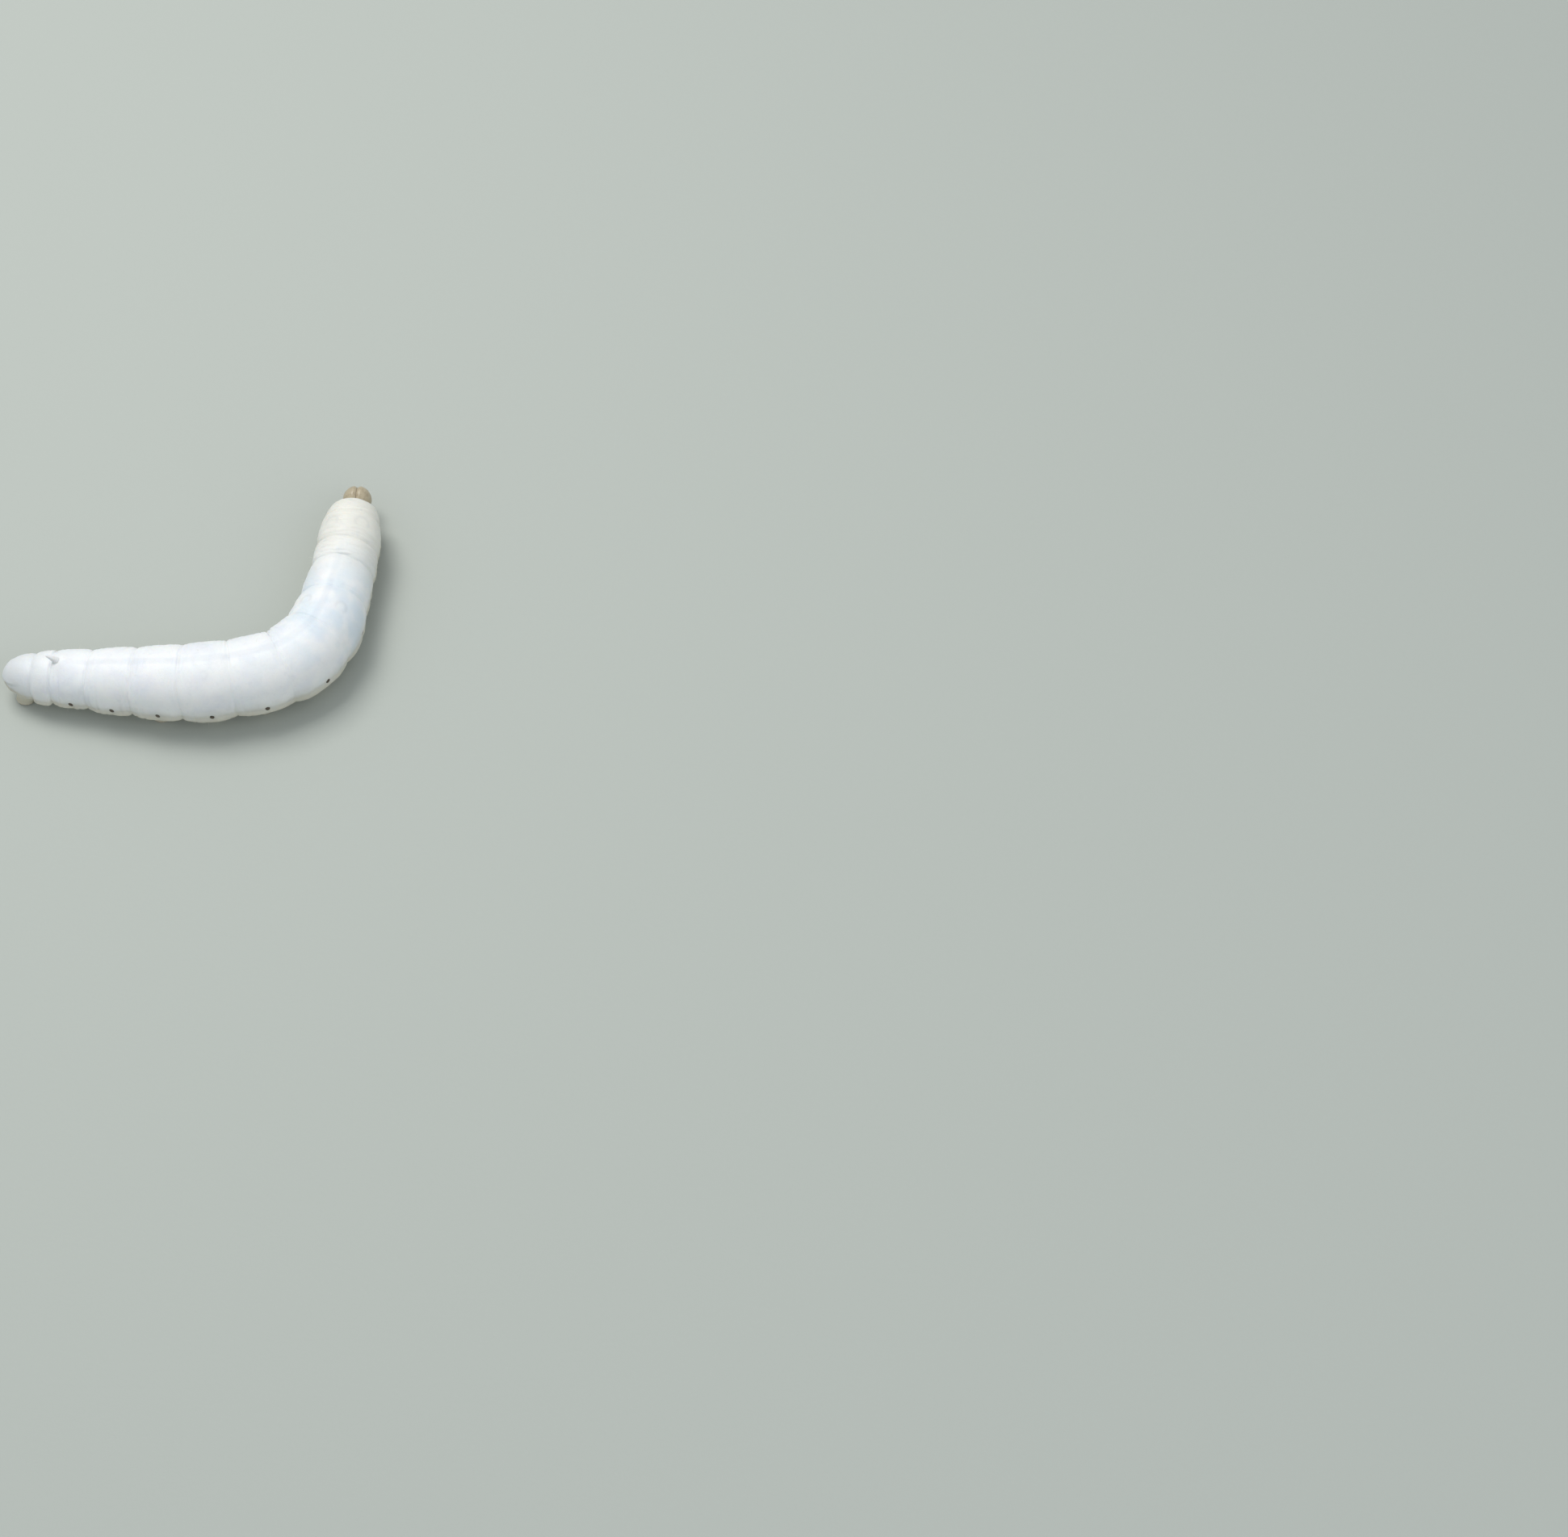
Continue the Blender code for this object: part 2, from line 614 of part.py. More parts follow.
def make_head():
    """The capsule with its mouth and simple eyes in one piece, flat where it meets the neck."""
    head = make_capsule("head", HEAD_DETAIL)
    frame = head_matrix()
    pieces = mouth_pieces()
    for side in (-1, 1):
        for direction in eye_places(side):
            centre = frame @ (capsule_point(direction) * EYE_SUNK)
            pieces.append(make_ball("eye", centre, (EYE_RADIUS,) * 3, None, EYE_DETAIL))
    boolean(head, pieces, "UNION")
    neck, _, forward = body_frame(BODY_LENGTH)
    cut_flat(head, neck + forward * (GAP / 2), forward)
    return head


def make_antenna(side, name):
    """A feeler beside the jaw, cut clear of the head and mouth."""
    antenna = head_cone(name, *FEELER, side)
    cutters = [make_capsule("cutter", HEAD_DETAIL, GAP), *mouth_pieces(GAP)]
    boolean(antenna, cutters, "DIFFERENCE")
    return antenna


def make_material(name, colour, roughness):
    material = bpy.data.materials.new(name)
    material.use_nodes = True
    shader = material.node_tree.nodes["Principled BSDF"]
    shader.inputs["Base Color"].default_value = (*colour, 1.0)
    shader.inputs["Roughness"].default_value = roughness
    shader.inputs["Metallic"].default_value = 0.0
    return material


def finish(thing, material):
    thing.data.materials.clear()
    thing.data.materials.append(material)
    thing.data.shade_smooth()
    thing.data.set_sharp_from_angle(angle=math.radians(40))


def main():
    for thing in list(bpy.data.objects):
        bpy.data.objects.remove(thing)
    abdomen_skin = make_material("white_skin", (0.80, 0.82, 0.86), 0.45)
    thorax_skin = make_material("cream_skin", (0.80, 0.77, 0.66), 0.45)
    proleg_skin = make_material("beige_skin", (0.72, 0.66, 0.54), 0.5)
    horny = make_material("brown_horn", (0.36, 0.27, 0.17), 0.35)

    grown = grown_body()
    for name in SEGMENT_LENGTHS:
        finish(make_segment(name), abdomen_skin if "thorax" not in name else thorax_skin)
    for side, hand in ((1, "left"), (-1, "right")):
        for number in PROLEG_SEGMENTS:
            name = f"proleg_{number}_{hand}"
            finish(make_proleg(number, side, name, grown), proleg_skin)
        finish(make_clasper(side, f"clasper_{hand}", grown), proleg_skin)
        for segment in LEG_SIZES:
            name = f"leg_{segment}_{hand}"
            finish(make_leg(segment, side, name, grown), horny)
        finish(make_antenna(-side, f"antenna_{hand}"), horny)
    finish(make_horn("horn", grown), thorax_skin)
    finish(make_head(), horny)
    bpy.data.objects.remove(grown)


main()
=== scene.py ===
# %% [markdown]
# # A silkworm at life size
# The animal is the larva of the moth Bombyx mori, full grown: one soft tube of skin, drawn in
# by folds into thirteen segments, with a small hard head, three pairs of jointed legs under the
# thorax, four pairs of fleshy prolegs, a pair of claspers at the tail and a soft horn above it.
# A script that models solids has made its frame already, and nothing here moves it. So the frame is
# loaded first, and its box is printed, as the box of the finished model is printed at the end.

import math

import bmesh
import bpy
import numpy as np
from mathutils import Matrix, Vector
from mathutils.kdtree import KDTree


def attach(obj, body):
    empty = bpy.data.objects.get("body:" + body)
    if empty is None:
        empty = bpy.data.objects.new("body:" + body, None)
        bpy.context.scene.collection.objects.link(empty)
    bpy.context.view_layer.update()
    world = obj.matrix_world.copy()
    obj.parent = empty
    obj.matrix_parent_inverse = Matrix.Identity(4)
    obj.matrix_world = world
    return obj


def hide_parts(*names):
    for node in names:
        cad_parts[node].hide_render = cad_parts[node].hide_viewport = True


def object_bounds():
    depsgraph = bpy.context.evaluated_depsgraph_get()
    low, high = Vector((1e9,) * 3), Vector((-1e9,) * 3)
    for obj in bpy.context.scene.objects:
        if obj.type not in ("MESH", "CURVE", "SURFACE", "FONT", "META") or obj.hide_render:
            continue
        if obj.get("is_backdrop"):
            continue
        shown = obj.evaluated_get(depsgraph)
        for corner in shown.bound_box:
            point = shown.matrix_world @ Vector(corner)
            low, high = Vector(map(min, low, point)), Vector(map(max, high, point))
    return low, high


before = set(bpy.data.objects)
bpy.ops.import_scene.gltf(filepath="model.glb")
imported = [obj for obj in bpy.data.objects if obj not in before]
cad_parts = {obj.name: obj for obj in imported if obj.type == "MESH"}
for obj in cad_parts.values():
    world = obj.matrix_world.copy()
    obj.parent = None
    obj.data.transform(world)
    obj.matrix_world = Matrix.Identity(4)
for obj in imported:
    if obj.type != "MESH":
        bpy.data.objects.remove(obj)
solid_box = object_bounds()
MM = 0.001


def in_mm(box):
    """The two corners of a box in millimetres."""
    return [[round(value / MM, 2) for value in corner] for corner in box]


def add_object(name, data):
    """A new object in the scene."""
    thing = bpy.data.objects.new(name, data)
    bpy.context.scene.collection.objects.link(thing)
    return thing


print(len(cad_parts), "nodes, box in mm:", in_mm(solid_box))

# %% [markdown]
# ## The camera
# The worm is small in a large picture and seen steeply from above, from the outer side of its bend.
# A long lens far off gives the flat perspective of such a picture. It could be placed by hand, but a
# point of the floor, an angle and a distance are easier to read and to change.

# %% Camera
PICTURE_WIDTH = 1942
FOCAL_LENGTH_IN_PIXELS = 4300.0
SENSOR_WIDTH = 36.0
CAMERA_ANGLE = math.radians(58.0)
CAMERA_DISTANCE = 444.1 * MM
LOOKED_AT = Vector((76.86 * MM, -23.32 * MM, 0.0))

camera_data = bpy.data.cameras.new("camera")
camera_data.sensor_width = SENSOR_WIDTH
camera_data.lens = SENSOR_WIDTH * FOCAL_LENGTH_IN_PIXELS / PICTURE_WIDTH
camera = add_object("camera", camera_data)
towards_camera = Vector((0.0, -math.cos(CAMERA_ANGLE), math.sin(CAMERA_ANGLE)))
camera.location = LOOKED_AT + towards_camera * CAMERA_DISTANCE
camera.rotation_euler = (math.radians(90.0) - CAMERA_ANGLE, 0.0, 0.0)
bpy.context.scene.camera = camera
print("lens", round(camera_data.lens, 1), "mm at", [round(v, 3) for v in camera.location])

# %% [markdown]
# ## Writing node trees as sums
# Materials and Geometry Nodes are trees of small nodes. Wiring them line by line is long and hard to
# read, so one class wraps an output and answers to + - * ** with the Math node that does it, and
# another adds any other node from its type, its settings and the values of its sockets.

# %% A wire and a graph
class Wire:
    """A node's output that takes part in sums."""

    def __init__(self, graph, socket):
        self.graph = graph
        self.socket = socket

    def math(self, operation, first, second):
        return self.graph.node("ShaderNodeMath", {"operation": operation}, {0: first, 1: second})

    def __add__(self, other):
        return self.math("ADD", self, other)

    def __sub__(self, other):
        return self.math("SUBTRACT", self, other)

    def __mul__(self, other):
        return self.math("MULTIPLY", self, other)

    def __pow__(self, other):
        return self.math("POWER", self, other)

    def __rsub__(self, other):
        return self.math("SUBTRACT", other, self)

    __radd__ = __add__

    def rise(self, low, high):
        """Ease from 0 to 1 while this value goes from low to high."""
        settings = {"interpolation_type": "SMOOTHSTEP"}
        return self.graph.node("ShaderNodeMapRange", settings, {0: self, 1: low, 2: high})


def with_alpha(value):
    """A plain colour with its fourth number; a wire or a single number stays as it is."""
    return (*value, 1.0) if isinstance(value, tuple) else value


class Graph:
    """A node tree: one method adds any kind of node, the others add the commonest ones."""

    def __init__(self, tree):
        self.tree = tree

    def node(self, kind, settings=None, sockets=None, out=0):
        node = self.tree.nodes.new(kind)
        for key, value in (settings or {}).items():
            setattr(node, key, value)
        for key, value in (sockets or {}).items():
            for item in value if isinstance(value, list) else [value]:
                if isinstance(item, Wire):
                    self.tree.links.new(item.socket, node.inputs[key])
                else:
                    node.inputs[key].default_value = item
        return Wire(self, node.outputs[out])

    def vector(self, x=0.0, y=0.0, z=0.0):
        return self.node("ShaderNodeCombineXYZ", None, {0: x, 1: y, 2: z})

    def height_of(self, vector):
        return self.node("ShaderNodeSeparateXYZ", None, {0: vector}, out="Z")

    def mix(self, share, first, second):
        """Blend two colours."""
        sockets = {0: share, 6: with_alpha(first), 7: with_alpha(second)}
        return self.node("ShaderNodeMix", {"data_type": "RGBA"}, sockets, out=2)

    def layered(self, tone, *layers):
        """Blend colours over a tone, one after another; a layer is a share and its colour."""
        for share, colour in layers:
            tone = self.mix(share, tone, colour)
        return tone


# %% [markdown]
# ## A base for every material
# All finishes here are a Principled shader with its own colour, roughness and bump. Patterns read
# Object coordinates, which stay on the piece because every piece keeps its place in its mesh, or a
# number stored in the mesh, such as how deep a point of the skin lies in a fold.

# %% Finish: the graph of one material
class Finish(Graph):
    def __init__(self, name):
        self.material = bpy.data.materials.new(name)
        self.material.use_nodes = True
        super().__init__(self.material.node_tree)
        self.shader = self.tree.nodes["Principled BSDF"]
        self.place = self.node("ShaderNodeTexCoord", out="Object")

    def noise(self, size, detail=3.0, roughness=0.55, stretch=(1.0, 1.0, 1.0), vector=None):
        """Cloudy noise from 0 to 1, its clouds about size wide, in metres."""
        sockets = {"Vector": vector or self.place, "Scale": tuple(share / size for share in stretch)}
        scaled = self.node("ShaderNodeMapping", None, sockets)
        sockets = {"Vector": scaled, "Scale": 1.0, "Detail": detail, "Roughness": roughness}
        return self.node("ShaderNodeTexNoise", None, sockets)

    def stored(self, name):
        """A number kept at each point of the mesh."""
        return self.node("ShaderNodeAttribute", {"attribute_name": name}, out="Fac")

    def close(self, colour, roughness, height=None, depth=0.05 * MM, **constants):
        """Wire the colour, roughness and bump to the shader, and set what is the same all over."""
        for key, value in (("Base Color", colour), ("Roughness", roughness)):
            if isinstance(value, Wire):
                self.tree.links.new(value.socket, self.shader.inputs[key])
            else:
                self.shader.inputs[key].default_value = with_alpha(value)
        if height:
            bump = self.node("ShaderNodeBump", None, {"Height": height, "Distance": depth}, out="Normal")
            self.tree.links.new(bump.socket, self.shader.inputs["Normal"])
        for key, value in constants.items():
            self.shader.inputs[key.replace("_", " ")].default_value = value
        return self.material


# %% [markdown]
# ## Floor and light
# A plain pale floor shows the outline of a white animal when it is a little darker than the animal.
# The light is soft and comes from above and a little behind, so the back is bright and the near
# flank falls into shade. A sky that pales upwards fills the shadows. One even grey would do that
# too, but then nothing would tell the side of a form from its top.

# %% Floor
FLOOR_RADIUS = 1.6
FLOOR_TONE = (0.46, 0.49, 0.45)
FLOOR_SIDES = 96

floor_mesh = bpy.data.meshes.new("floor")
floor_shape = bmesh.new()
bmesh.ops.create_circle(floor_shape, cap_ends=True, radius=FLOOR_RADIUS, segments=FLOOR_SIDES)
floor_shape.to_mesh(floor_mesh)
floor_shape.free()
floor = add_object("floor", floor_mesh)
paper = Finish("floor_paper")
grain = paper.noise(0.8 * MM, 4.0)
floor_mesh.materials.append(paper.close(FLOOR_TONE, 0.75, grain, 0.02 * MM))
floor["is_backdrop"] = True

# %% Lights
ZENITH_TONE = (0.52, 0.55, 0.58)
HORIZON_TONE = (0.27, 0.285, 0.27)
HAZE_TOP = 0.4
LIGHTS = {
    "key": ((-0.13, 0.17, 0.50), 0.28, 1.8, (1.0, 0.99, 0.965)),
    "fill": ((0.34, -0.30, 0.30), 0.40, 0.36, (0.95, 0.97, 1.0)),
}

world = bpy.data.worlds.new("studio")
world.use_nodes = True
sky = Graph(world.node_tree)
direction = sky.node("ShaderNodeTexCoord", out="Generated")
sky_tone = sky.mix(sky.height_of(direction).rise(0.0, HAZE_TOP), HORIZON_TONE, ZENITH_TONE)
world.node_tree.links.new(sky_tone.socket, world.node_tree.nodes["Background"].inputs["Color"])
bpy.context.scene.world = world
bpy.context.scene.view_settings.view_transform = "Standard"
for light_name, (light_place, light_size, watts, light_tone) in LIGHTS.items():
    light_data = bpy.data.lights.new(light_name, "AREA")
    light_data.size = light_size
    light_data.energy = watts
    light_data.color = light_tone
    light = add_object(light_name, light_data)
    light.location = light_place
    light.rotation_euler = (-Vector(light_place)).to_track_quat("-Z", "Y").to_euler()
    print("light", light_name, watts, "W")

# %% [markdown]
# ## The rule of the body
# The larva is a tube along a middle line. The line turns left in a few smooth steps, the tube
# swells and narrows along it, and every segment is drawn in at its ends. The solids were lofted by
# this rule, so the skin repeats it, here in millimetres, and lies on their surface by itself.
# All functions take whole arrays, which is much faster than a point at a time.

# %% Named sizes of the body, in millimetres and degrees
TAIL_TIP = (-23.72, -11.25)
TAIL_HEADING = -5.9
TURNS = ((20.4, 17.3, 35.3), (66.0, 31.8, 48.4), (7.0, 50.0, 64.0))
LENGTHS = {
    "anal_segment": 4.2,
    "abdomen_9": 2.7,
    "abdomen_8": 4.7,
    "abdomen_7": 5.9,
    "abdomen_6": 6.2,
    "abdomen_5": 6.3,
    "abdomen_4": 6.3,
    "abdomen_3": 6.2,
    "abdomen_2": 5.9,
    "abdomen_1": 5.1,
    "metathorax": 3.1,
    "mesothorax": 4.7,
    "prothorax": 3.4,
}
SEGMENTS = list(LENGTHS)
ENDS = np.concatenate([[0.0], np.cumsum(list(LENGTHS.values()))])
BODY_LENGTH = ENDS[-1]
TAIL_HALF_WIDTH = 3.3
TAIL_ROUNDING = 7.2
SWELLINGS = ((1.6, 2.0, 28.0), (-0.8, 40.0, 57.0))
FRONT_ROUNDING = (57.5, 67.0)
BACK_SHARE = 1.04
BELLY_SHARE = 0.86
BELLY_SQUARENESS = 2.5
SIDE_FOLD_ANGLE = 122.0
SIDE_FOLD_SPREAD = 11.0
SIDE_FOLD_SHARE = 0.035
TAIL_CLEARANCE = 1.2
BELLY_CLEARANCE = 1.1
CHEST_CLEARANCE = 1.7
CHEST_START = 50.0
CLEARANCE_STEP = 9.0
TAIL_LEVEL_FROM = 4.5
FOLD_DEPTH = 0.19
FOLD_START = 4.0
NECK_FOLD_DEPTH = 0.85
FOLD_SHARPNESS = 4.0
THORAX_START = ENDS[10]
WIDEST_PLACE = 30.0
UP = np.array([0.0, 0.0, 1.0])


# %% The tube
def smooth(value):
    """Ease from 0 to 1 as the value goes from 0 to 1."""
    value = np.clip(value, 0.0, 1.0)
    return value * value * (3.0 - 2.0 * value)


def bump_at(values, middle, spread):
    """A bell that is 1 at the middle and falls off on both sides."""
    return np.exp(-(((values - middle) / spread) ** 2))


def steps(distance, table):
    """Sum the smooth steps of a table of (amount, from, to) up to a distance from the tail's tip."""
    return sum(amount * smooth((distance - start) / (end - start)) for amount, start, end in table)


def heading(distance):
    return np.radians(TAIL_HEADING + steps(distance, TURNS))


def half_width(distance):
    """The body's half width over the crests, without the folds."""
    tail = 1.0 - np.minimum(distance / TAIL_ROUNDING, 1.0)
    rounded = 1.0 - tail * tail
    width = TAIL_HALF_WIDTH * np.sqrt(np.maximum(rounded, 0.0)) + steps(distance, SWELLINGS) * rounded
    front = np.maximum(distance - FRONT_ROUNDING[0], 0.0) / (FRONT_ROUNDING[1] - FRONT_ROUNDING[0])
    return width * np.sqrt(np.maximum(1.0 - front * front, 0.0))


def in_segment(distance):
    """The segment's number, counted from the tail, and the share of its length behind a distance."""
    number = np.clip(np.searchsorted(ENDS, distance, side="right") - 1, 0, len(SEGMENTS) - 1)
    return number, (distance - ENDS[number]) / (ENDS[number + 1] - ENDS[number])


def place_in(segment, share=0.5):
    """The distance from the tail's tip to a place in a segment."""
    return ENDS[SEGMENTS.index(segment)] + share * LENGTHS[segment]


def fold(distance):
    """How far the skin is drawn in towards the ends of a segment."""
    number, share = in_segment(distance)
    off_middle = 2.0 * share - 1.0
    at_neck = (number == len(SEGMENTS) - 1) & (off_middle > 0.0)
    depth = np.where(at_neck, NECK_FOLD_DEPTH, FOLD_DEPTH * smooth(distance / FOLD_START))
    return depth * np.minimum(np.abs(off_middle), 1.0) ** FOLD_SHARPNESS


def clearance(distance):
    """The belly's height over the floor."""
    tail = (TAIL_CLEARANCE - BELLY_CLEARANCE) * (1.0 - smooth(distance / CLEARANCE_STEP))
    chest = (CHEST_CLEARANCE - BELLY_CLEARANCE) * smooth((distance - CHEST_START) / CLEARANCE_STEP)
    return BELLY_CLEARANCE + tail + chest


PACE = 0.05
WALKED = np.arange(int(math.ceil((BODY_LENGTH + 4.0) / PACE)) + 1) * PACE
WALKED_HEADING = heading(WALKED[:-1] + PACE / 2)
WALKED_X = TAIL_TIP[0] + np.concatenate([[0.0], np.cumsum(np.cos(WALKED_HEADING) * PACE)])
WALKED_Y = TAIL_TIP[1] + np.concatenate([[0.0], np.cumsum(np.sin(WALKED_HEADING) * PACE)])


def section(distance):
    """A section's middle at its widest height, and the directions to its left and forward."""
    distance = np.asarray(distance, float)
    angle = heading(distance)
    height = clearance(distance) + BELLY_SHARE * half_width(np.maximum(distance, TAIL_LEVEL_FROM))
    x = np.interp(distance, WALKED, WALKED_X)
    y = np.interp(distance, WALKED, WALKED_Y)
    level = np.zeros_like(angle)
    middle = np.stack([x, y, height], axis=-1)
    left = np.stack([-np.sin(angle), np.cos(angle), level], axis=-1)
    forward = np.stack([np.cos(angle), np.sin(angle), level], axis=-1)
    return middle, left, forward


def from_back(degrees):
    """The angle from the back's ridge on either side, 0 to 180."""
    return 180.0 - np.abs(180.0 - np.asarray(degrees, float) % 360.0)


def skin(distance, degrees, reach_share=1.0):
    """Points of the skin; degrees go from the back's ridge over the left side to the belly."""
    middle, left, _ = section(distance)
    sine, cosine = np.sin(np.radians(degrees)), np.cos(np.radians(degrees))
    below = cosine < 0.0
    power = np.where(below, 2.0 / BELLY_SQUARENESS, 1.0)
    swell = 1.0 + SIDE_FOLD_SHARE * bump_at(from_back(degrees), SIDE_FOLD_ANGLE, SIDE_FOLD_SPREAD)
    reach = (half_width(distance) - fold(distance)) * reach_share * swell
    across = reach * (np.sign(sine) * np.abs(sine) ** power)
    rise = reach * np.where(below, BELLY_SHARE, BACK_SHARE) * (np.sign(cosine) * np.abs(cosine) ** power)
    return middle + left * across[..., None] + UP * rise[..., None]


print("body", BODY_LENGTH, "mm, widest", round(float(2 * half_width(WIDEST_PLACE)), 2), "mm")

# %% [markdown]
# ## From rows of points to meshes
# Most pieces are a grid of points: rings in order along a path. One helper closes such a grid to a
# mesh, with a fan at both ends so that no hole is left. Another gives a smooth curve through a few
# rows of sizes, which keeps the tables short.

# %% Mesh helpers
def make_object(name, points, faces):
    """An object from points in millimetres, with its faces turned outwards."""
    data = bpy.data.meshes.new(name)
    data.from_pydata((np.asarray(points, float) * MM).tolist(), [], faces)
    turned = bmesh.new()
    turned.from_mesh(data)
    bmesh.ops.recalc_face_normals(turned, faces=turned.faces)
    turned.to_mesh(data)
    turned.free()
    return add_object(name, data)


def grid_faces(rows, columns, first):
    """The faces of a closed tube of rings, with a fan to a last point at either end."""
    row, column = np.meshgrid(np.arange(rows - 1), np.arange(columns), indexing="ij")
    here = row * columns
    after = (column + 1) % columns
    corners = [here + column, here + after, here + columns + after, here + columns + column]
    faces = (np.stack(corners, axis=-1).reshape(-1, 4) + first).tolist()
    start, end = first + rows * columns, first + rows * columns + 1
    for step in range(columns):
        follower = (step + 1) % columns
        last = first + (rows - 1) * columns
        faces.append([start, first + follower, first + step])
        faces.append([end, last + step, last + follower])
    return faces


def closed_grid(grid):
    """A grid's points in one list, with the middle of its first and last ring added."""
    flat = grid.reshape(-1, 3)
    return np.vstack([flat, grid[0].mean(axis=0), grid[-1].mean(axis=0)])


def grids_object(name, grids):
    """One object of several closed grids that stand apart."""
    points = []
    faces = []
    for grid in grids:
        faces += grid_faces(grid.shape[0], grid.shape[1], sum(len(part) for part in points))
        points.append(closed_grid(grid))
    return make_object(name, np.vstack(points), faces)


def through(table, count):
    """Rows at even steps of a smooth curve through the rows of a table."""
    rows = np.array(table, float)
    rows = np.vstack([2 * rows[0] - rows[1], rows, 2 * rows[-1] - rows[-2]])
    place = np.linspace(0.0, len(table) - 1.0, count)
    index = np.minimum(place.astype(int), len(table) - 2)
    t = (place - index)[:, None]
    a, b, c, d = (rows[index + step] for step in range(4))
    return 0.5 * (2 * b + (c - a) * t + (2 * a - 5 * b + 4 * c - d) * t**2 + (3 * b - a - 3 * c + d) * t**3)


def unit(vectors):
    return vectors / np.maximum(np.linalg.norm(vectors, axis=-1, keepdims=True), 1e-9)


def tube(path, radii, sides, across):
    """Rings round a path, each with a radius along the across direction and one at a right angle."""
    along = unit(np.gradient(path, axis=0))
    second = unit(np.cross(along, across))
    first = unit(np.cross(second, along))
    turn = np.linspace(0.0, 2.0 * np.pi, sides, endpoint=False)[None, :, None]
    wide, deep = radii[:, 0, None, None], radii[:, 1, None, None]
    return path[:, None] + first[:, None] * wide * np.cos(turn) + second[:, None] * deep * np.sin(turn)


def store(thing, name, values):
    """Keep a number at each point of a mesh, for its material."""
    attribute = thing.data.attributes.new(name, "FLOAT", "POINT")
    attribute.data.foreach_set("value", np.asarray(values, np.float32).ravel())


def evaluated(thing):
    """The mesh that an object's modifiers give."""
    bpy.context.view_layer.update()
    depsgraph = bpy.context.evaluated_depsgraph_get()
    return bpy.data.meshes.new_from_object(thing.evaluated_get(depsgraph))


def finish_piece(thing, material, slot, *nodes):
    """Shade a piece smooth, give it its material and let it ride on the body."""
    thing.data.materials.clear()
    thing.data.materials.append(material)
    thing.data.shade_smooth()
    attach(thing, "root")
    if nodes:
        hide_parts(*nodes)
    print(thing.name, len(thing.data.polygons), "faces")


# %% [markdown]
# ## Folds and wrinkles of the skin
# A silkworm's skin is never a plain tube. Each segment ends in a soft fold, and a few shallower
# creases run round it in between, closer on the thorax. On the inside of the bend they are pressed
# deep, on the outside they are stretched out. A furrow and a row of soft bulges run low along each
# flank, and small wrinkles cover all of it. A displacement texture could add this, but only as fine
# as a picture of it. Here each crease is a line with a place, a depth and a wavering course, and
# seeded waves add what follows no rule.

# %% Rings and columns of the skin
ABDOMEN_PITCH = 0.136
THORAX_PITCH = 0.1
CROWDING = 0.45
TAIL_CROWDING = 1.7
SKIN_COLUMNS = 124
NECK_REACH = 1.3
NECK_RINGS = 9


def ring_distances():
    """Where rings stand: closer together at the folds and at both rounded ends."""
    places = []
    for name, start, end in zip(SEGMENTS, ENDS, ENDS[1:]):
        pitch = THORAX_PITCH if "thorax" in name else ABDOMEN_PITCH
        count = round((end - start) / pitch)
        even = (np.arange(count) + 0.5) / count
        crowded = even - CROWDING * np.sin(2.0 * np.pi * even) / (2.0 * np.pi)
        share = even**TAIL_CROWDING if name == "anal_segment" else crowded
        places.append(start + (end - start) * share)
    places.append(BODY_LENGTH + NECK_REACH * np.sin(np.linspace(0.05, 0.49, NECK_RINGS) * np.pi))
    return np.concatenate(places)


def column_angles():
    """Angles that part the outline of a section into even lengths."""
    fine = np.linspace(0.0, 360.0, 1441)
    outline = skin(np.full(fine.shape, WIDEST_PLACE), fine)
    walked = np.concatenate([[0.0], np.cumsum(np.linalg.norm(np.diff(outline, axis=0), axis=1))])
    even = (np.arange(SKIN_COLUMNS) + 0.5) / SKIN_COLUMNS * walked[-1]
    return np.interp(even, walked, fine)


RINGS = ring_distances()
ANGLES = column_angles()
AT, ROUND = np.meshgrid(RINGS, ANGLES, indexing="ij")
SIDE = from_back(ROUND)
print(len(RINGS), "rings of", len(ANGLES), "columns")

# %% Creases round the body
MAIN_CREASE = (0.12, 0.17)
ABDOMEN_CREASES = ((0.12, 0.09), (0.26, 0.13), (0.42, 0.06), (0.60, 0.04), (0.80, 0.09), (0.91, 0.06))
THORAX_CREASES = ((0.11, 0.10), (0.24, 0.15), (0.37, 0.09), (0.50, 0.14), (0.63, 0.09), (0.76, 0.13))
TAIL_CREASES = ((0.36, 0.05), (0.74, 0.07))
NECK_CREASES = ((0.7, 0.08), (0.45, 0.1), (0.22, 0.1))
CREASE_WIDTHS = (0.11, 0.2)
COURSE_WAVES = ((2, 0.12), (5, 0.07), (11, 0.04), (23, 0.02))
STRENGTH = 0.7
STRENGTH_WAVES = ((3, 0.25), (7, 0.15))
BEND_PRESSES = 2.4
LEAST_PRESSED = 0.25
draw = np.random.default_rng(21)
bend = np.gradient(heading(RINGS), RINGS)[:, None] * half_width(RINGS)[:, None]
pressed = np.maximum(1.0 + BEND_PRESSES * bend * np.sin(np.radians(ROUND)), LEAST_PRESSED)


def waves_round(start, table, phases):
    """A number round the body, from a start and rows of (how many waves, how high)."""
    rows = [(count * np.radians(ROUND) + phase, height) for (count, height), phase in zip(table, phases)]
    return sum((height * np.sin(turn) for turn, height in rows), start)


def crease(place, depth, width, waver):
    """A wavering furrow round the body, which fades and comes back on its way."""
    phases = draw.uniform(0.0, 2.0 * np.pi, 6)
    course = waves_round(0.0, COURSE_WAVES, phases[:4])
    strength = waves_round(STRENGTH, STRENGTH_WAVES, phases[4:])
    off = (AT - place - waver * course) / width
    return depth * strength / (1.0 + off * off) ** 2


